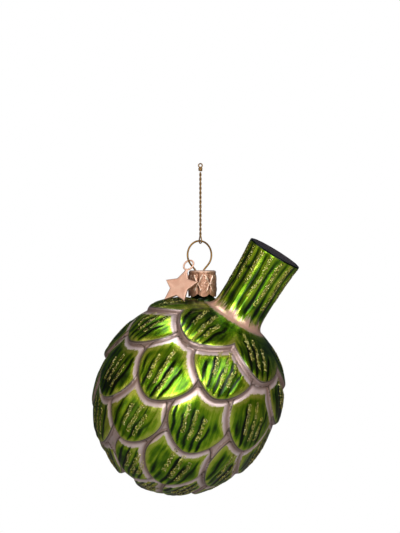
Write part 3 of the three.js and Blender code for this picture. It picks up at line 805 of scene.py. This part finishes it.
def stem_surface(azimuth, from_foot):
    """Radius of the fluted stem, and what its finish needs: ribs are cosines round the axis that fade at the
    foot, and the leaf scar is a swelling with a V above it."""
    fade = smooth(from_foot, 0.5, 6) * (0.35 + 0.65 * smooth(STEM_LENGTH - from_foot, 0, 3))
    wander = 0.04 * np.sin(from_foot * 0.33 + 2 * np.sin(3 * azimuth))
    wave = 0.5 + 0.5 * np.cos(STEM_RIBS * (azimuth + wander / 2))
    radius = stem_radius(from_foot) - STEM_RIB_HEIGHT * fade * (1 - wave)
    scar_across = ((azimuth - math.radians(SCAR_AZIMUTH) + np.pi) % (2 * np.pi) - np.pi) * STEM_RADIUS
    scar_up = from_foot - SCAR_HEIGHT
    swelling = np.exp(-((scar_across / SCAR_SIZE) ** 2) - (scar_up / (0.8 * SCAR_SIZE)) ** 2)
    notch = np.exp(-(((scar_up - 1.1 - 0.8 * np.abs(scar_across)) / 0.55) ** 2)) * swelling
    radius = radius + 0.35 * swelling - 0.5 * notch
    streaks = 0.6 * np.sin(7 * azimuth + 0.5) + 0.9 * np.sin(11 * azimuth) + 0.5 * np.sin(23 * azimuth)
    soft_edge = 0.2 * (from_foot - 1.6 + 0.9 * streaks)
    paint = np.minimum(soft_edge + 3 * np.maximum(soft_edge - 0.5, 0), 5.0)
    brush = circle(STEM_RADIUS, azimuth, 0.09 * from_foot)
    groove = (1 - wave) ** 4 * fade
    # painted shade in the rib grooves and in the scar's notch, darker towards the foot, and a little lighter
    # all over
    shade = 0.55 * groove + notch - 0.25 + 0.45 * (1 - smooth(from_foot, 5, 15))
    looks = {"brush": brush, "paint": paint, "shade": np.clip(shade, -0.25, 1)}
    looks |= {"valley": 0 * from_foot, "cream": 1 - smooth(from_foot, 2, 5), "inset": 6 + 0 * from_foot}
    return radius, looks


# The head's pose: its axis leans right and forwards, and the neck's foot on the shoulder is under the cap.
head_turn = rotation("y", AXIS_TO_RIGHT) @ rotation("x", AXIS_TO_FRONT)
neck_way = unit(np.array([*(math.tan(math.radians(lean)) for lean in (NECK_TO_RIGHT, NECK_TO_BACK)), 1.0]))
neck_polar = math.acos(neck_way @ head_turn[:, 2])
neck_reach = float(outline_radius(neck_polar) - RELIEF + shoulder_height(neck_polar))
neck_foot = cap_axis + np.array([0, 0, cap_foot - CAP_ABOVE_GLASS])
head_centre = neck_foot - neck_way * neck_reach


def placed(points):
    """Points of the head's frame in the object's frame."""
    return points @ head_turn.T + head_centre


def dished_end(end):
    """Radii and heights over the foot of the stem's last rings: a quarter round in from the radius end, and
    the dish."""
    bend = np.radians([30, 60, 90])
    rim_radius = end[None] - STEM_EDGE * (1 - np.cos(bend))[:, None]
    rim_height = STEM_LENGTH - STEM_EDGE + STEM_EDGE * np.sin(bend)
    inward = np.array([0.4, 0.9, 1.6, 2.4, 4.5, 7.0])
    dish_radius = (end - STEM_EDGE)[None] * (1 - inward / STEM_RADIUS)[:, None]
    dish_height = STEM_LENGTH - STEM_DISH * smooth(inward, 0, 2)
    return np.concatenate([rim_radius, dish_radius]), np.concatenate([rim_height, dish_height])


def end_looks(name, values, count):
    """What the finish needs on the end's rings: lacquer on its round rim, darkened by painted shade, and none
    in its dish.
    """
    ring = np.arange(count) // HEAD_COLUMNS
    if name == "paint":
        return np.where(ring < 3, 3.0, -3.0)
    if name == "shade":
        return np.where(ring < 4, 0.9, 0.0)
    if name == "brush":
        return np.resize(values[-HEAD_COLUMNS:], (count, 3))
    return np.zeros(count)


def head_grid(azimuth):
    """Points of the head's rings, from its lowest to the stem's foot, and what their finish needs. The
    glass is sunk down the neck's bore and painted dark there as painted shade."""
    polar = np.linspace(np.pi, foot_polar, HEAD_ROWS + 1)[1:]
    ways = direction(*np.meshgrid(polar, azimuth, indexing="ij")).reshape(-1, 3)
    at = head_places(ways)
    from_bore = np.arccos(np.clip(ways @ (neck_way @ head_turn), -1, 1)) * neck_reach
    # painted shade: dark where the glass is sunk down the neck's bore
    hollow = 1 - smooth(from_bore, bore_radius - 0.8, bore_radius - 0.2)
    points = ways * (head_radius(at) - BORE_DEPTH * hollow)[:, None]
    return points, head_looks(at) | {"hollow": hollow}


def stem_grid(azimuth):
    """Points of the stem's rings, from its foot to the middle of its end, and what their finish needs. The
    dish is painted dark as a painted reflection."""
    from_foot = (STEM_LENGTH - STEM_EDGE) * (np.arange(1, STEM_ROWS + 1) / STEM_ROWS) ** 1.2
    foot_grid, azimuth_grid = np.meshgrid(from_foot, azimuth, indexing="ij")
    radius, looks = stem_surface(azimuth_grid.ravel(), foot_grid.ravel())
    end_radius, end_height = dished_end(radius[-HEAD_COLUMNS:])
    radius = np.concatenate([radius, end_radius.ravel()])
    up = np.concatenate([foot_grid.ravel(), np.repeat(end_height, HEAD_COLUMNS)])
    for name, values in looks.items():
        looks[name] = np.concatenate([values, end_looks(name, values, end_radius.size)])
    # painted dark reflection in the stem's dish
    looks["hollow"] = np.where(np.arange(len(up)) >= (STEM_ROWS + 2) * HEAD_COLUMNS, 0.9, 0.0)
    return from_front(radius, np.tile(azimuth, len(up) // HEAD_COLUMNS), foot_height + up), looks


def glass_piece(material):
    """The head and the stem as one surface, from the lowest point to the middle of the dished end."""
    azimuth = np.linspace(0, 2 * np.pi, HEAD_COLUMNS, endpoint=False)
    head, looks = head_grid(azimuth)
    stem, above = stem_grid(azimuth)
    points, quads, triangles = closed_tube(np.concatenate([head, stem]).reshape(-1, HEAD_COLUMNS, 3))
    points[-2] = [0, 0, -head_radius(head_places(np.array([[0, 0, -1.0]])))[0]]
    points[-1] = [0, 0, foot_height + STEM_LENGTH - STEM_DISH]
    looks = {name: with_ends(np.concatenate([values, above[name]])) for name, values in looks.items()}
    return dressed(put_mesh("glass_artichoke", placed(points), quads, triangles), material, **looks)


def neck_piece(material):
    """The neck within the cap: a ring turned round the cap's axis, flared at its foot, its lacquer darkened
    by painted shade.
    """
    top = cap_top - CAP_SHEET - CLEARANCE
    low = neck_foot[2] - NECK_SUNK
    profile = np.array(
        [
            [NECK_RADIUS + NECK_FLARE, low],
            [NECK_RADIUS + 0.7 * NECK_FLARE, neck_foot[2]],
            [NECK_RADIUS, cap_foot - CLEARANCE],
            [NECK_RADIUS, top - 0.3],
            [NECK_RADIUS - 0.1, top - 0.05],
            [NECK_RADIUS - 0.35, top],
            [bore_radius + 0.2, top],
            [bore_radius, top - 0.25],
            [bore_radius, low],
        ]
    )
    turn = np.linspace(0, 2 * np.pi, NECK_COLUMNS, endpoint=False)
    points = (circle(profile[:, :1], turn, profile[:, 1:]) + cap_axis).reshape(-1, 3)
    piece = put_mesh("glass_neck", points, grid_quads(len(profile), NECK_COLUMNS, closed=True))
    looks = {"brush": points * [1, 1, 0.1], "paint": np.where(points[:, 2] < cap_foot, 3.0, -3.0)}
    # painted shade: the neck's lacquer darkened under the cap
    return dressed(piece, material, inset=6.0, shade=0.3, valley=0.0, cream=0.0, hollow=0.0, **looks)


# Glitter


def flakes(name, centres, normals, seed, material):
    """Flat four-sided plates with a raised middle on both sides, each tilted a little at random."""
    draw = np.random.default_rng(seed)
    count = len(centres)
    normals = unit(normals + draw.normal(0, 0.28, (count, 3)))
    first = unit(np.cross(normals, draw.normal(0, 1, (count, 3))))
    second = np.cross(normals, first)
    size = FLAKE_SIZE * draw.uniform(0.7, 1.35, (count, 1))
    thickness = 0.3 * size
    corners = [first * size, second * size * 0.85, -first * size, -second * size * 0.85]
    corners += [normals * thickness, -normals * thickness]
    points = (centres[:, None] + np.stack(corners, axis=1)).reshape(-1, 3)
    plate = np.array([[0, 1, 4], [1, 2, 4], [2, 3, 4], [3, 0, 4], [1, 0, 5], [2, 1, 5], [3, 2, 5], [0, 3, 5]])
    faces = (np.arange(count)[:, None, None] * 6 + plate).reshape(-1, 3)
    piece = put_mesh(name, points, np.empty((0, 4)), faces)
    piece.data.shade_flat()
    return dressed(piece, material, tone=np.repeat(draw.uniform(0, 1, count), 6))


def bract_way(bract, across, along):
    """The unit direction at a place across and up a bract."""
    up = (along / BRACT_ARC)[:, None]
    side = (across / BRACT_ARC)[:, None]
    meridian = tips[bract] * np.cos(up) + ups[bract] * np.sin(up)
    return meridian * np.cos(side) + acrosses[bract] * np.sin(side)


def bract_flakes(material):
    """Even stripes of glitter along the middle ribs of each bract, less what an upper bract hides."""
    draw = np.random.default_rng(7)
    bract, across, along = [], [], []
    for index, half in enumerate(halves):
        scale = half / BRACT_HALF_WIDTH
        for rib, (low, length) in enumerate(STRIPES, start=1):
            length = length * scale * draw.uniform(0.85, 1.12)
            count = int(length * BRACT_FLAKES_PER_MM)
            up = low * scale + draw.uniform(-1.0, 1.0) + length * draw.uniform(0, 1, count)
            own = np.full(count, index)
            bract.append(own)
            across.append(rib_lines(own, up)[:, rib] + STRIPE_WIDTH / 2 * draw.uniform(-1, 1, count))
            along.append(up)
    bract, across, along = (np.concatenate(values) for values in (bract, across, along))
    ways = bract_way(bract, across, along)
    _, _, share = on_bracts(ways)
    hidden = (share < 1.02) & (rows[None, :] < rows[bract][:, None])
    seen = ~hidden.any(1)
    ways = ways[seen]
    step = 0.004
    side = unit(np.cross(ways, [0.3, 0.2, 1.0]))
    other = np.cross(ways, side)
    near = [ways, unit(ways + step * side), unit(ways + step * other)]
    centre, right, above = (way * head_radius(head_places(way))[:, None] for way in near)
    normal = unit(np.cross(right - centre, above - centre))
    normal = normal * np.sign((normal * ways).sum(1))[:, None]
    lift = draw.uniform(0.02, 0.12, (len(ways), 1))
    return flakes("bract_glitter", placed(centre + normal * lift), normal @ head_turn.T, 11, material)


def stem_flakes(material):
    """A stripe of glitter down each rib of the stem, from near its rim to a length of its own."""
    draw = np.random.default_rng(23)
    azimuth, height = [], []
    for rib in range(STEM_RIBS):
        length = draw.uniform(11, 21)
        count = int(length * STEM_FLAKES_PER_MM)
        up = STEM_LENGTH - 1.2 - length * draw.uniform(0, 1, count)
        middle = 2 * np.pi * rib / STEM_RIBS + 0.03 * np.sin(up * 0.4 + rib)
        height.append(up)
        azimuth.append(middle + STEM_STRIPE_WIDTH / 2 / STEM_RADIUS * draw.uniform(-1, 1, count))
    azimuth, height = np.concatenate(azimuth), np.concatenate(height)
    radius = stem_surface(azimuth, height)[0] + draw.uniform(0.02, 0.12, len(height))
    centres = from_front(radius, azimuth, foot_height + height)
    return flakes("stem_glitter", placed(centres), from_front(1.0, azimuth, 0.0) @ head_turn.T, 13, material)


# The metal pieces


def cap_relief(azimuth, down):
    """The embossing: pillowed lobes with a crease between them, two ridges that cross at each crease's
    middle, a pit above and below the crossing, and small beads and dents. Gives the height over the plain
    wall, how far a place is raised, and the lobe's share, 1 at its middle and 0 at a crease."""
    phase = CAP_LOBES * (azimuth - math.radians(CAP_LOBE_TURN)) / (2 * np.pi)
    from_lobe = phase - np.round(phase)
    lobe = np.cos(np.pi * from_lobe)
    arch = np.sin(np.pi * (BULGE_ABOVE + down) / (1 + 2 * BULGE_ABOVE))
    bulge = LOBE_BULGE * lobe**0.7 * arch
    beside = (0.5 - np.abs(from_lobe)) * LOBE_WIDTH
    from_middle = np.abs(down - 0.5) * CAP_HEIGHT
    off_ridge = (beside - RIDGE_SLOPE * from_middle) / math.hypot(1, RIDGE_SLOPE)
    band = smooth(down, 0.06, 0.14) * (1 - smooth(down, 0.72, 0.84))
    ridge = np.exp(-((off_ridge / RIDGE_WIDTH) ** 2)) * band
    pit = np.exp(-((beside / 0.55) ** 2) - ((from_middle - 1.5) / 0.8) ** 2)
    crease = np.exp(-((beside / 0.22) ** 2)) * (1 - ridge)
    lumps = np.sin(phase * 19 + 3 * np.sin(down * 17)) * np.sin(down * 23 + 2 * np.sin(phase * 9))
    beads = np.clip(lumps, 0, 1) ** 3 * smooth(beside, 0.6, 1.1) * band
    dents = np.clip(-lumps, 0, 1) ** 2 * smooth(beside, 0.6, 1.1) * band
    height = bulge + RIDGE_HEIGHT * ridge - CREASE_DEPTH * (pit + 0.5 * crease) + 0.1 * beads - 0.08 * dents
    level = 0.5 + 0.45 * ridge - 0.5 * pit - 0.3 * crease + 0.4 * beads - 0.2 * dents
    return height - RIDGE_HEIGHT, np.clip(level, 0, 1), lobe


def slot_radius(azimuth):
    """Distance from the cap's axis to the edge of its slot, which is straight with round ends."""
    turn = azimuth - math.radians(RING_TURN)
    half_width = SLOT_WIDTH / 2
    straight = SLOT_LENGTH / 2 - half_width
    flat = half_width / np.maximum(np.abs(np.sin(turn)), 1e-6)
    reach = straight * np.abs(np.cos(turn))
    round_end = reach + np.sqrt(np.maximum(half_width**2 - (straight * np.sin(turn)) ** 2, 0))
    return np.where(flat * np.abs(np.cos(turn)) < straight, flat, round_end)


def cap_piece(material):
    """The cap as one closed sheet: from the slot out over the top, down the wall, under the scalloped foot
    and back up within it to the slot."""
    azimuth = np.linspace(0, 2 * np.pi, CAP_COLUMNS, endpoint=False)
    slot = slot_radius(azimuth)
    rings = []
    raised = []

    def ring(radius, height, level):
        """One ring of the sheet, and how far it is raised."""
        rings.append(circle(radius, azimuth, height))
        raised.append(np.broadcast_to(level, azimuth.shape))

    def wall(inset, levels):
        """Rings down the wall, at an inset from its outer face."""
        for down in levels:
            height, level, lobe = cap_relief(azimuth + np.pi / 2, down)
            height = height * smooth(down, 0, 0.06)
            taper = CAP_TOP_RADIUS + (CAP_FOOT_RADIUS - CAP_TOP_RADIUS) * down
            scallop = SCALLOP_DEPTH * (1 - np.abs(lobe)) * down**2
            z = -CAP_CORNER - (CAP_HEIGHT - CAP_CORNER) * down + scallop
            ring(taper + height - inset, z, level if inset == 0 else 0.1)

    outer_corner = CAP_TOP_RADIUS - CAP_CORNER
    for share in (0, 0.06, 0.35, 0.7, 1.0):
        ring(slot + (outer_corner - slot) * share, -0.08 * (1 - share) ** 2, 0.55)
    for bend in np.radians([20, 40, 60, 80]):
        ring(outer_corner + CAP_CORNER * np.sin(bend), CAP_CORNER * (np.cos(bend) - 1), 0.75)
    levels = np.linspace(0, 1, CAP_LEVELS)
    wall(0, levels)
    wall(CAP_SHEET / 2 - 0.08, [1.0])
    wall(CAP_SHEET, levels[::-3])
    inner_corner = CAP_CORNER - CAP_SHEET
    for bend in np.radians([80, 40, 0]):
        ring(outer_corner + inner_corner * np.sin(bend), -CAP_SHEET - inner_corner * (1 - np.cos(bend)), 0.1)
    for share in (0.5, 0.0):
        ring(slot + (outer_corner - slot) * share, -CAP_SHEET, 0.1)
    points = np.stack(rings).reshape(-1, 3) + cap_axis + [0, 0, cap_top]
    piece = put_mesh("cap_shell", points, grid_quads(len(rings), CAP_COLUMNS, closed=True))
    return dressed(piece, material, raised=np.concatenate(raised))


def hanger_line():
    """The wire's middle line: up one sprung leg, through the slot, round the ring and back down."""
    start = np.array([math.sin(math.radians(LEG_ANGLE)), -math.cos(math.radians(LEG_ANGLE))]) * RING_RADIUS
    leg_top = start[1] - (start[0] - LEG_HALF_SPACING) * math.tan(math.radians(LEG_ANGLE))
    below_slot = leg_top - CAP_SHEET - WIRE_DIAMETER
    leg_end = leg_top - LEG_DEPTH
    in_bore = bore_radius * math.cos(math.pi / BORE_SIDES) - WIRE_DIAMETER / 2 - CLEARANCE

    def leg(side):
        """One leg from its end up to the ring: -1 for the left one, 1 for the right one."""
        return [
            (CAP_SHIFT + side * in_bore, leg_end),
            (CAP_SHIFT + side * in_bore, (2 * leg_end + below_slot) / 3),
            (side * (LEG_HALF_SPACING - CAP_SHEET), below_slot),
            (side * LEG_HALF_SPACING, leg_top),
        ]

    angles = np.radians(np.linspace(-180 + LEG_ANGLE, 180 - LEG_ANGLE, 21))
    arc = [(RING_RADIUS * math.sin(angle), RING_RADIUS * math.cos(angle)) for angle in angles]
    flat = np.array([*leg(-1), *arc, *leg(1)[::-1]])
    return ring_centre + flat[:, :1] * along_ring + flat[:, 1:] * np.array([0, 0, 1])


def wire_piece(material):
    """The ring and its legs as one bar, whose finish runs along it."""
    line = smooth_line(hanger_line(), WIRE_STEPS)
    piece = put_mesh("ring_wire", *closed_tube(tube_rings(line, WIRE_DIAMETER / 2, WIRE_SIDES)))
    angle = np.tile(np.linspace(0, 2 * np.pi, WIRE_SIDES, endpoint=False), len(line))
    brush = circle(3, angle, np.repeat(np.linspace(0, 12, len(line)), WIRE_SIDES))
    return dressed(piece, material, brush=with_ends(brush))


def star_radius(angle, reach):
    """Distance from the star's centre to its straight sides, at angles from its upper tip."""
    fifth = np.abs((angle + np.pi / 5) % (2 * np.pi / 5) - np.pi / 5)
    notch = STAR_NOTCH * reach
    corner = math.pi / 5
    return reach * notch * math.sin(corner) / (reach * np.sin(fifth) + notch * np.sin(corner - fifth))


def charm_place(points):
    """Points of the charm's own plane, with its eyelet at the origin, in the object's frame."""
    turn = rotation("z", CHARM_TURN) @ rotation("x", 90 + CHARM_LEAN) @ rotation("y", CHARM_ROLL)
    place = math.radians(CHARM_PLACE)
    on_wire = ring_centre - along_ring * RING_RADIUS * math.sin(place)
    on_wire = on_wire - np.array([0, 0, RING_RADIUS * math.cos(place)])
    hang = EYELET_RADIUS - EYELET_WIRE / 2 - WIRE_DIAMETER / 2 - 2 * CLEARANCE
    catch = math.radians(CHARM_CATCH)
    return points @ turn.T + on_wire - hang * turn @ [math.sin(catch), math.cos(catch), 0]


def star_profile():
    """Insets from the star's outline, and heights, from its front over its round edge to its back."""
    bends = np.radians([90, 60, 30, 0])
    insets = np.concatenate([[3.4, 2.2, 1.3, 0.7], STAR_EDGE * (1 - np.cos(bends))])
    heights = STAR_THICKNESS / 2 - STAR_EDGE * (1 - np.sin(bends))
    heights = np.concatenate([np.full(4, STAR_THICKNESS / 2), heights])
    return np.concatenate([insets, insets[::-1]]), np.concatenate([heights, -heights[::-1]])


def star_marks(insets, heights, outline):
    """How worn each point of the star is, along its edge, and how brown: on its sides, and as painted shade
    on the edges that face up and to the left."""
    from_edge = np.concatenate([np.repeat(insets, STAR_COLUMNS), [insets[0], insets[0]]])
    level = np.concatenate([np.repeat(heights, STAR_COLUMNS), [0, 0]])
    on_side = 1 - smooth(np.abs(level), 0.1, STAR_THICKNESS / 2 - 0.04)
    worn = np.exp(-(((from_edge - 0.3) / 0.25) ** 2)) * 0.7
    # painted shade on the edges that face up and to the left, with brown on the star's sides
    edge_way = np.roll(outline, -1, axis=0) - np.roll(outline, 1, axis=0)
    facing_up = unit(np.stack([-edge_way[:, 1], edge_way[:, 0]], axis=-1)) @ [-0.6, 0.8]
    brown_sides_and_shade = np.tile(smooth(facing_up, 0.1, 0.6), len(insets)) * (1 - smooth(from_edge[:-2], 0.3, 0.8))
    brown_sides_and_shade = np.maximum(np.concatenate([brown_sides_and_shade, [0, 0]]) * 0.85, np.where(from_edge < 0.5, on_side, 0))
    return worn, brown_sides_and_shade


def charm_piece(material):
    """The star as a pillow-edged plate of rings of its outline, its stalk and its eyelet."""
    angle = np.linspace(0, 2 * np.pi, STAR_COLUMNS, endpoint=False)
    insets, heights = star_profile()
    rings = []
    for inset, height in zip(insets, heights):
        radius = star_radius(angle, STAR_RADIUS - 1.35 * inset)
        dimple = 0.05 * np.sin(3 * angle + inset) * min(inset, 1)
        up = radius * np.cos(angle) - EYELET_ABOVE_STAR
        rings.append(np.stack([radius * np.sin(angle), up, height + dimple * np.sign(height)], axis=-1))
    turn = np.linspace(0, 2 * np.pi, EYELET_STEPS, endpoint=False)
    eyelet, outward = torus(circle(EYELET_RADIUS, turn), 0, [0, 0, 1.0], EYELET_WIRE / 2, EYELET_SIDES)
    stalk_line = np.linspace([0, -EYELET_RADIUS, 0], [0, -EYELET_ABOVE_STAR + 0.62 * STAR_RADIUS, 0], 12)
    spread = np.linspace(1.0, 1.6, 12)[:, None] * STALK_WIDTH / 2
    section = tube_rings(stalk_line, spread, EYELET_SIDES)
    section[..., 2] *= EYELET_WIRE / STALK_WIDTH
    points, quads, triangles = joined([closed_tube(np.stack(rings)), eyelet, closed_tube(section)])
    worn, brown_sides_and_shade = star_marks(insets, heights, rings[0])
    others = len(points) - len(worn)
    # painted shade on the eyelet's side that faces up and to the left
    eyelet_shade = 0.7 * smooth(outward @ [-0.7, 0.7, 0], 0.1, 0.9)
    return dressed(
        put_mesh("star", charm_place(points), quads, triangles),
        material,
        brush=points * [0.25, 4.0, 1.0],
        worn=np.concatenate([worn, np.full(others, 0.3)]),
        side=np.concatenate([brown_sides_and_shade, eyelet_shade, np.zeros(others - len(eyelet_shade))]),
    )


# The cord


def cord_points():
    """The cord's route: straight down from the knot, and round the ring's wire in the bight, back to the
    place where its strands part."""
    fork = ring_top + BIGHT_RISE
    reach = WIRE_DIAMETER / 2 + CLEARANCE + STRAND_DIAMETER / 2
    beside = (CORD_DIAMETER - STRAND_DIAMETER) / 2
    slanting = reach * math.sqrt(0.5)
    bight = [
        (-beside, BIGHT_RISE),
        (-reach / 2, BIGHT_SWELL * BIGHT_RISE),
        (-reach, 0),
        (-slanting, -slanting),
        (0, -reach),
        (slanting, -slanting),
        (reach, 0),
        (reach / 2, BIGHT_SWELL * BIGHT_RISE),
        (beside, BIGHT_RISE),
    ]
    loop = np.array([across_ring * side + [0, 0, ring_top + height] for side, height in bight])
    straight = np.linspace([0, 0, knot_bottom - CLEARANCE], [0, 0, fork + 0.6], 24)
    return straight, loop


def strand_rings(line, radius, sides):
    """Rings of a strand whose outline has the small swellings of its filaments, turning as they go."""
    angle = np.linspace(0, 2 * np.pi, sides, endpoint=False)
    travel = np.concatenate([[0], np.cumsum(np.linalg.norm(np.diff(line, axis=0), axis=1))])
    swell = 1 + 0.07 * np.cos(FILAMENTS * (angle[None] + travel[:, None] * 2.2))
    return tube_rings(line, radius * swell, sides), angle, travel


def cord_piece(material):
    """Two strands wound round each other down the cord, the first of which goes on round the ring's wire, and
    the cord's middle line."""
    straight, loop = cord_points()
    top, bottom = straight[0][2], loop[0][2]
    height = np.linspace(top, bottom, CORD_STEPS)
    radius = STRAND_DIAMETER / 2
    parts = []
    brushes = []
    insides = []
    end_angle = math.atan2(across_ring[1], across_ring[0])
    for side in (0, 1):
        turn = end_angle + np.pi * (1 - side) + 2 * np.pi * (height - bottom) / CORD_LAY
        offset = CORD_DIAMETER / 2 - radius
        line = circle(offset, turn, height)
        if side == 0:
            line = np.concatenate([line, smooth_line(loop, 90)[1:]])
        rings, angle, travel = strand_rings(line, radius, 14)
        parts.append(closed_tube(rings))
        out = unit(rings - line[:, None])
        axis_way = unit(line * [1, 1, 0] + 1e-9)
        facing = (out * axis_way[:, None]).sum(-1)
        in_lay = (np.arange(len(line)) < CORD_STEPS)[:, None]
        # painted shade on each strand's side that faces the other
        inside = np.where(in_lay, smooth(-facing, -0.1, 0.9), 0.15)
        brush = circle(3, angle[None], travel[:, None] * 0.7 + 20.0 * side)
        brushes.append(with_ends(brush.reshape(-1, 3)))
        insides.append(np.concatenate([inside.ravel(), [0.5, 0.5]]))
    piece = put_mesh("twisted_cord", *joined(parts))
    dressed(piece, material, brush=np.concatenate(brushes), inside=np.concatenate(insides))
    return piece, np.concatenate([straight, smooth_line(loop, 30)])


def knot_piece(material):
    """The knot: an eye of one strand, and wraps round a short core as one coil."""
    turn = np.linspace(0, 2 * np.pi, EYE_STEPS, endpoint=False)
    middle = np.array([0, 0, -EYE_RADIUS - STRAND_DIAMETER / 2])
    eye_line = np.stack([EYE_RADIUS * np.sin(turn), 0 * turn, EYE_RADIUS * np.cos(turn)], axis=-1) + middle
    eye, _ = torus(eye_line, middle, [0, 1.0, 0], STRAND_DIAMETER / 2, KNOT_SIDES)
    wraps = np.linspace(0, KNOT_WRAPS * 2 * np.pi, 130)
    rise = knot_bottom + KNOT_STRAND_RADIUS + (KNOT_WRAPS - 1) * KNOT_PITCH * wraps / wraps[-1]
    coil = closed_tube(tube_rings(circle(KNOT_RADIUS, wraps, rise), KNOT_STRAND_RADIUS, KNOT_SIDES))
    core_line = np.linspace([0, 0, knot_bottom], [0, 0, -2 * EYE_RADIUS - STRAND_DIAMETER / 2], 8)
    core = closed_tube(tube_rings(core_line, KNOT_RADIUS * 0.9, 16))
    points, quads, triangles = joined([eye, coil, core])
    # painted shade towards the knot's core
    inside = smooth(-np.hypot(points[:, 0], points[:, 1]), -0.5, -0.2) * 0.6
    piece = put_mesh("knot", points, quads, triangles)
    return dressed(piece, material, brush=points * [6, 6, 2], inside=inside)


# Stage

CAMERA_DISTANCE = 2.0
PHOTO_MM_PER_PIXEL = 0.385
PHOTO_SIZE = (400, 533)
CORD_PIXEL = (200.4, 163)  # the photograph's place of the origin

# Metres, and shares of full white
STAGE_MIDDLE = (0, 0, -0.08)
FLOOR_HEIGHT = -0.42
FLOOR_REACH = 2.5
FLOOR_GREY = 0.44
FLOOR_GLOW = 0.6
ROOM_IN_FRONT = (0.24, 0.17, 0.13, 1)
ROOM_BEHIND = (0.03, 0.035, 0.045, 1)


def studio_camera():
    """Level, far away and long, so that a pixel is 0.385 mm at the cord."""
    middle_x = (PHOTO_SIZE[0] / 2 - CORD_PIXEL[0]) * PHOTO_MM_PER_PIXEL
    middle_z = -(PHOTO_SIZE[1] / 2 - CORD_PIXEL[1]) * PHOTO_MM_PER_PIXEL
    data = bpy.data.cameras.new("camera")
    data.sensor_width = 36
    data.lens = data.sensor_width * CAMERA_DISTANCE / (PHOTO_SIZE[1] * PHOTO_MM_PER_PIXEL * MM)
    data.clip_start = 0.01
    data.clip_end = 20
    camera = bpy.data.objects.new("camera", data)
    camera.location = (middle_x * MM, -CAMERA_DISTANCE, middle_z * MM)
    camera.rotation_euler = (math.pi / 2, 0, 0)
    bpy.context.scene.collection.objects.link(camera)
    bpy.context.scene.camera = camera


def area_light(name, place, size, power, colour=(1, 1, 1)):
    """A rectangle of light that faces the stage's middle; place and size in metres, power in watts."""
    data = bpy.data.lights.new(name, "AREA")
    data.shape = "RECTANGLE"
    data.size, data.size_y = size
    data.energy = power
    data.color = colour
    light = bpy.data.objects.new(name, data)
    light.location = place
    way = np.array(STAGE_MIDDLE) - np.array(place)
    light.rotation_euler = [
        math.atan2(math.hypot(way[0], way[1]), -way[2]),
        0,
        math.atan2(way[1], way[0]) - math.pi / 2,
    ]
    bpy.context.scene.collection.objects.link(light)


def stage_floor():
    """A plain floor that looks paler than the light it throws back, and is seen through from below."""
    mesh = bpy.data.meshes.new("floor")
    signs = [(-1, -1), (1, -1), (1, 1), (-1, 1)]
    corners = [(FLOOR_REACH * x, FLOOR_REACH * y, FLOOR_HEIGHT) for x, y in signs]
    mesh.from_pydata(corners, [], [(0, 1, 2, 3)])
    floor = bpy.data.objects.new("floor", mesh)
    bpy.context.scene.collection.objects.link(floor)
    finish = Finish("floor", Roughness=0.9)
    seen = finish.node("LightPath", {}).outputs["Is Camera Ray"]
    below = finish.node("NewGeometry", {}).outputs["Backfacing"]
    finish.set(Base_Color=(FLOOR_GREY,) * 3 + (1,), Alpha=finish.between(below, 0.0, 1.0, 1.0, 0.0))
    finish.set(Emission_Color=(1, 1, 1, 1), Emission_Strength=finish.times(seen, FLOOR_GLOW))
    mesh.materials.append(finish.material)


def studio_world():
    """White to the eye; to the object a dim warm room in front and at the sides, and a dark one behind."""
    world = bpy.data.worlds.new("studio")
    world.use_nodes = True
    tree = world.node_tree
    way = tree.nodes.new("ShaderNodeSeparateXYZ")
    tree.links.new(tree.nodes.new("ShaderNodeTexCoord").outputs["Generated"], way.inputs[0])
    behind = tree.nodes.new("ShaderNodeMapRange")
    behind.inputs["From Min"].default_value = -0.1
    behind.inputs["From Max"].default_value = 0.5
    tree.links.new(way.outputs["Y"], behind.inputs["Value"])
    room = tree.nodes.new("ShaderNodeMix")
    room.data_type = "RGBA"
    room.inputs[6].default_value = ROOM_IN_FRONT
    room.inputs[7].default_value = ROOM_BEHIND
    tree.links.new(behind.outputs["Result"], room.inputs[0])
    seen = tree.nodes.new("ShaderNodeMix")
    seen.data_type = "RGBA"
    seen.inputs[7].default_value = (1, 1, 1, 1)
    tree.links.new(tree.nodes.new("ShaderNodeLightPath").outputs["Is Camera Ray"], seen.inputs[0])
    tree.links.new(room.outputs[2], seen.inputs[6])
    tree.links.new(seen.outputs[2], tree.nodes["Background"].inputs["Color"])
    return world


def studio():
    """A pale floor and a white room, soft lights at the upper right and in front, and weaker ones at the left
    and above."""
    stage_floor()
    area_light("key", (0.55, -0.75, 0.3), (0.6, 0.6), 5.0, (1.0, 0.97, 1.0))
    area_light("front", (-0.2, -1.2, 0.1), (0.5, 0.8), 6.4)
    area_light("fill", (-0.8, -0.4, 0.0), (0.2, 0.9), 0.5, (1.0, 0.86, 0.72))
    area_light("top", (-0.2, -0.1, 0.8), (0.6, 0.3), 2.4, (0.96, 0.97, 1.0))
    bpy.context.scene.world = studio_world()
    bpy.context.scene.view_settings.view_transform = "Standard"


def build():
    """Every piece with the body that it rides and the solid that it replaces, and the stage."""
    studio_camera()
    yarn = gold_yarn()
    cord, route = cord_piece(yarn)
    knot = knot_piece(yarn)
    glass = lacquered_glass()
    sparkle = glitter()
    pieces = [
        (knot, "knot", "cord_knot", "cord"),
        (cord, "cord", "hanging_cord", "cord"),
        (wire_piece(antique_wire()), "hanger", "hanger_wire", "hanger_wire"),
        (cap_piece(rose_gold_cap()), "hanger", "crown_cap", "rose_gold_cap"),
        (charm_piece(satin_charm()), "charm", "star_charm", "charm"),
        (glass_piece(glass), "glass", "glass_shell", "lacquered_glass"),
        (neck_piece(glass), "glass", "glass_neck", "lacquered_glass"),
        (bract_flakes(sparkle), "glass", None, "lacquered_glass"),
        (stem_flakes(sparkle), "glass", None, "lacquered_glass"),
    ]
    for piece, body, node, slot in pieces:
        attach(piece, body)
        if node:
            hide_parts(node)
    studio()


build()
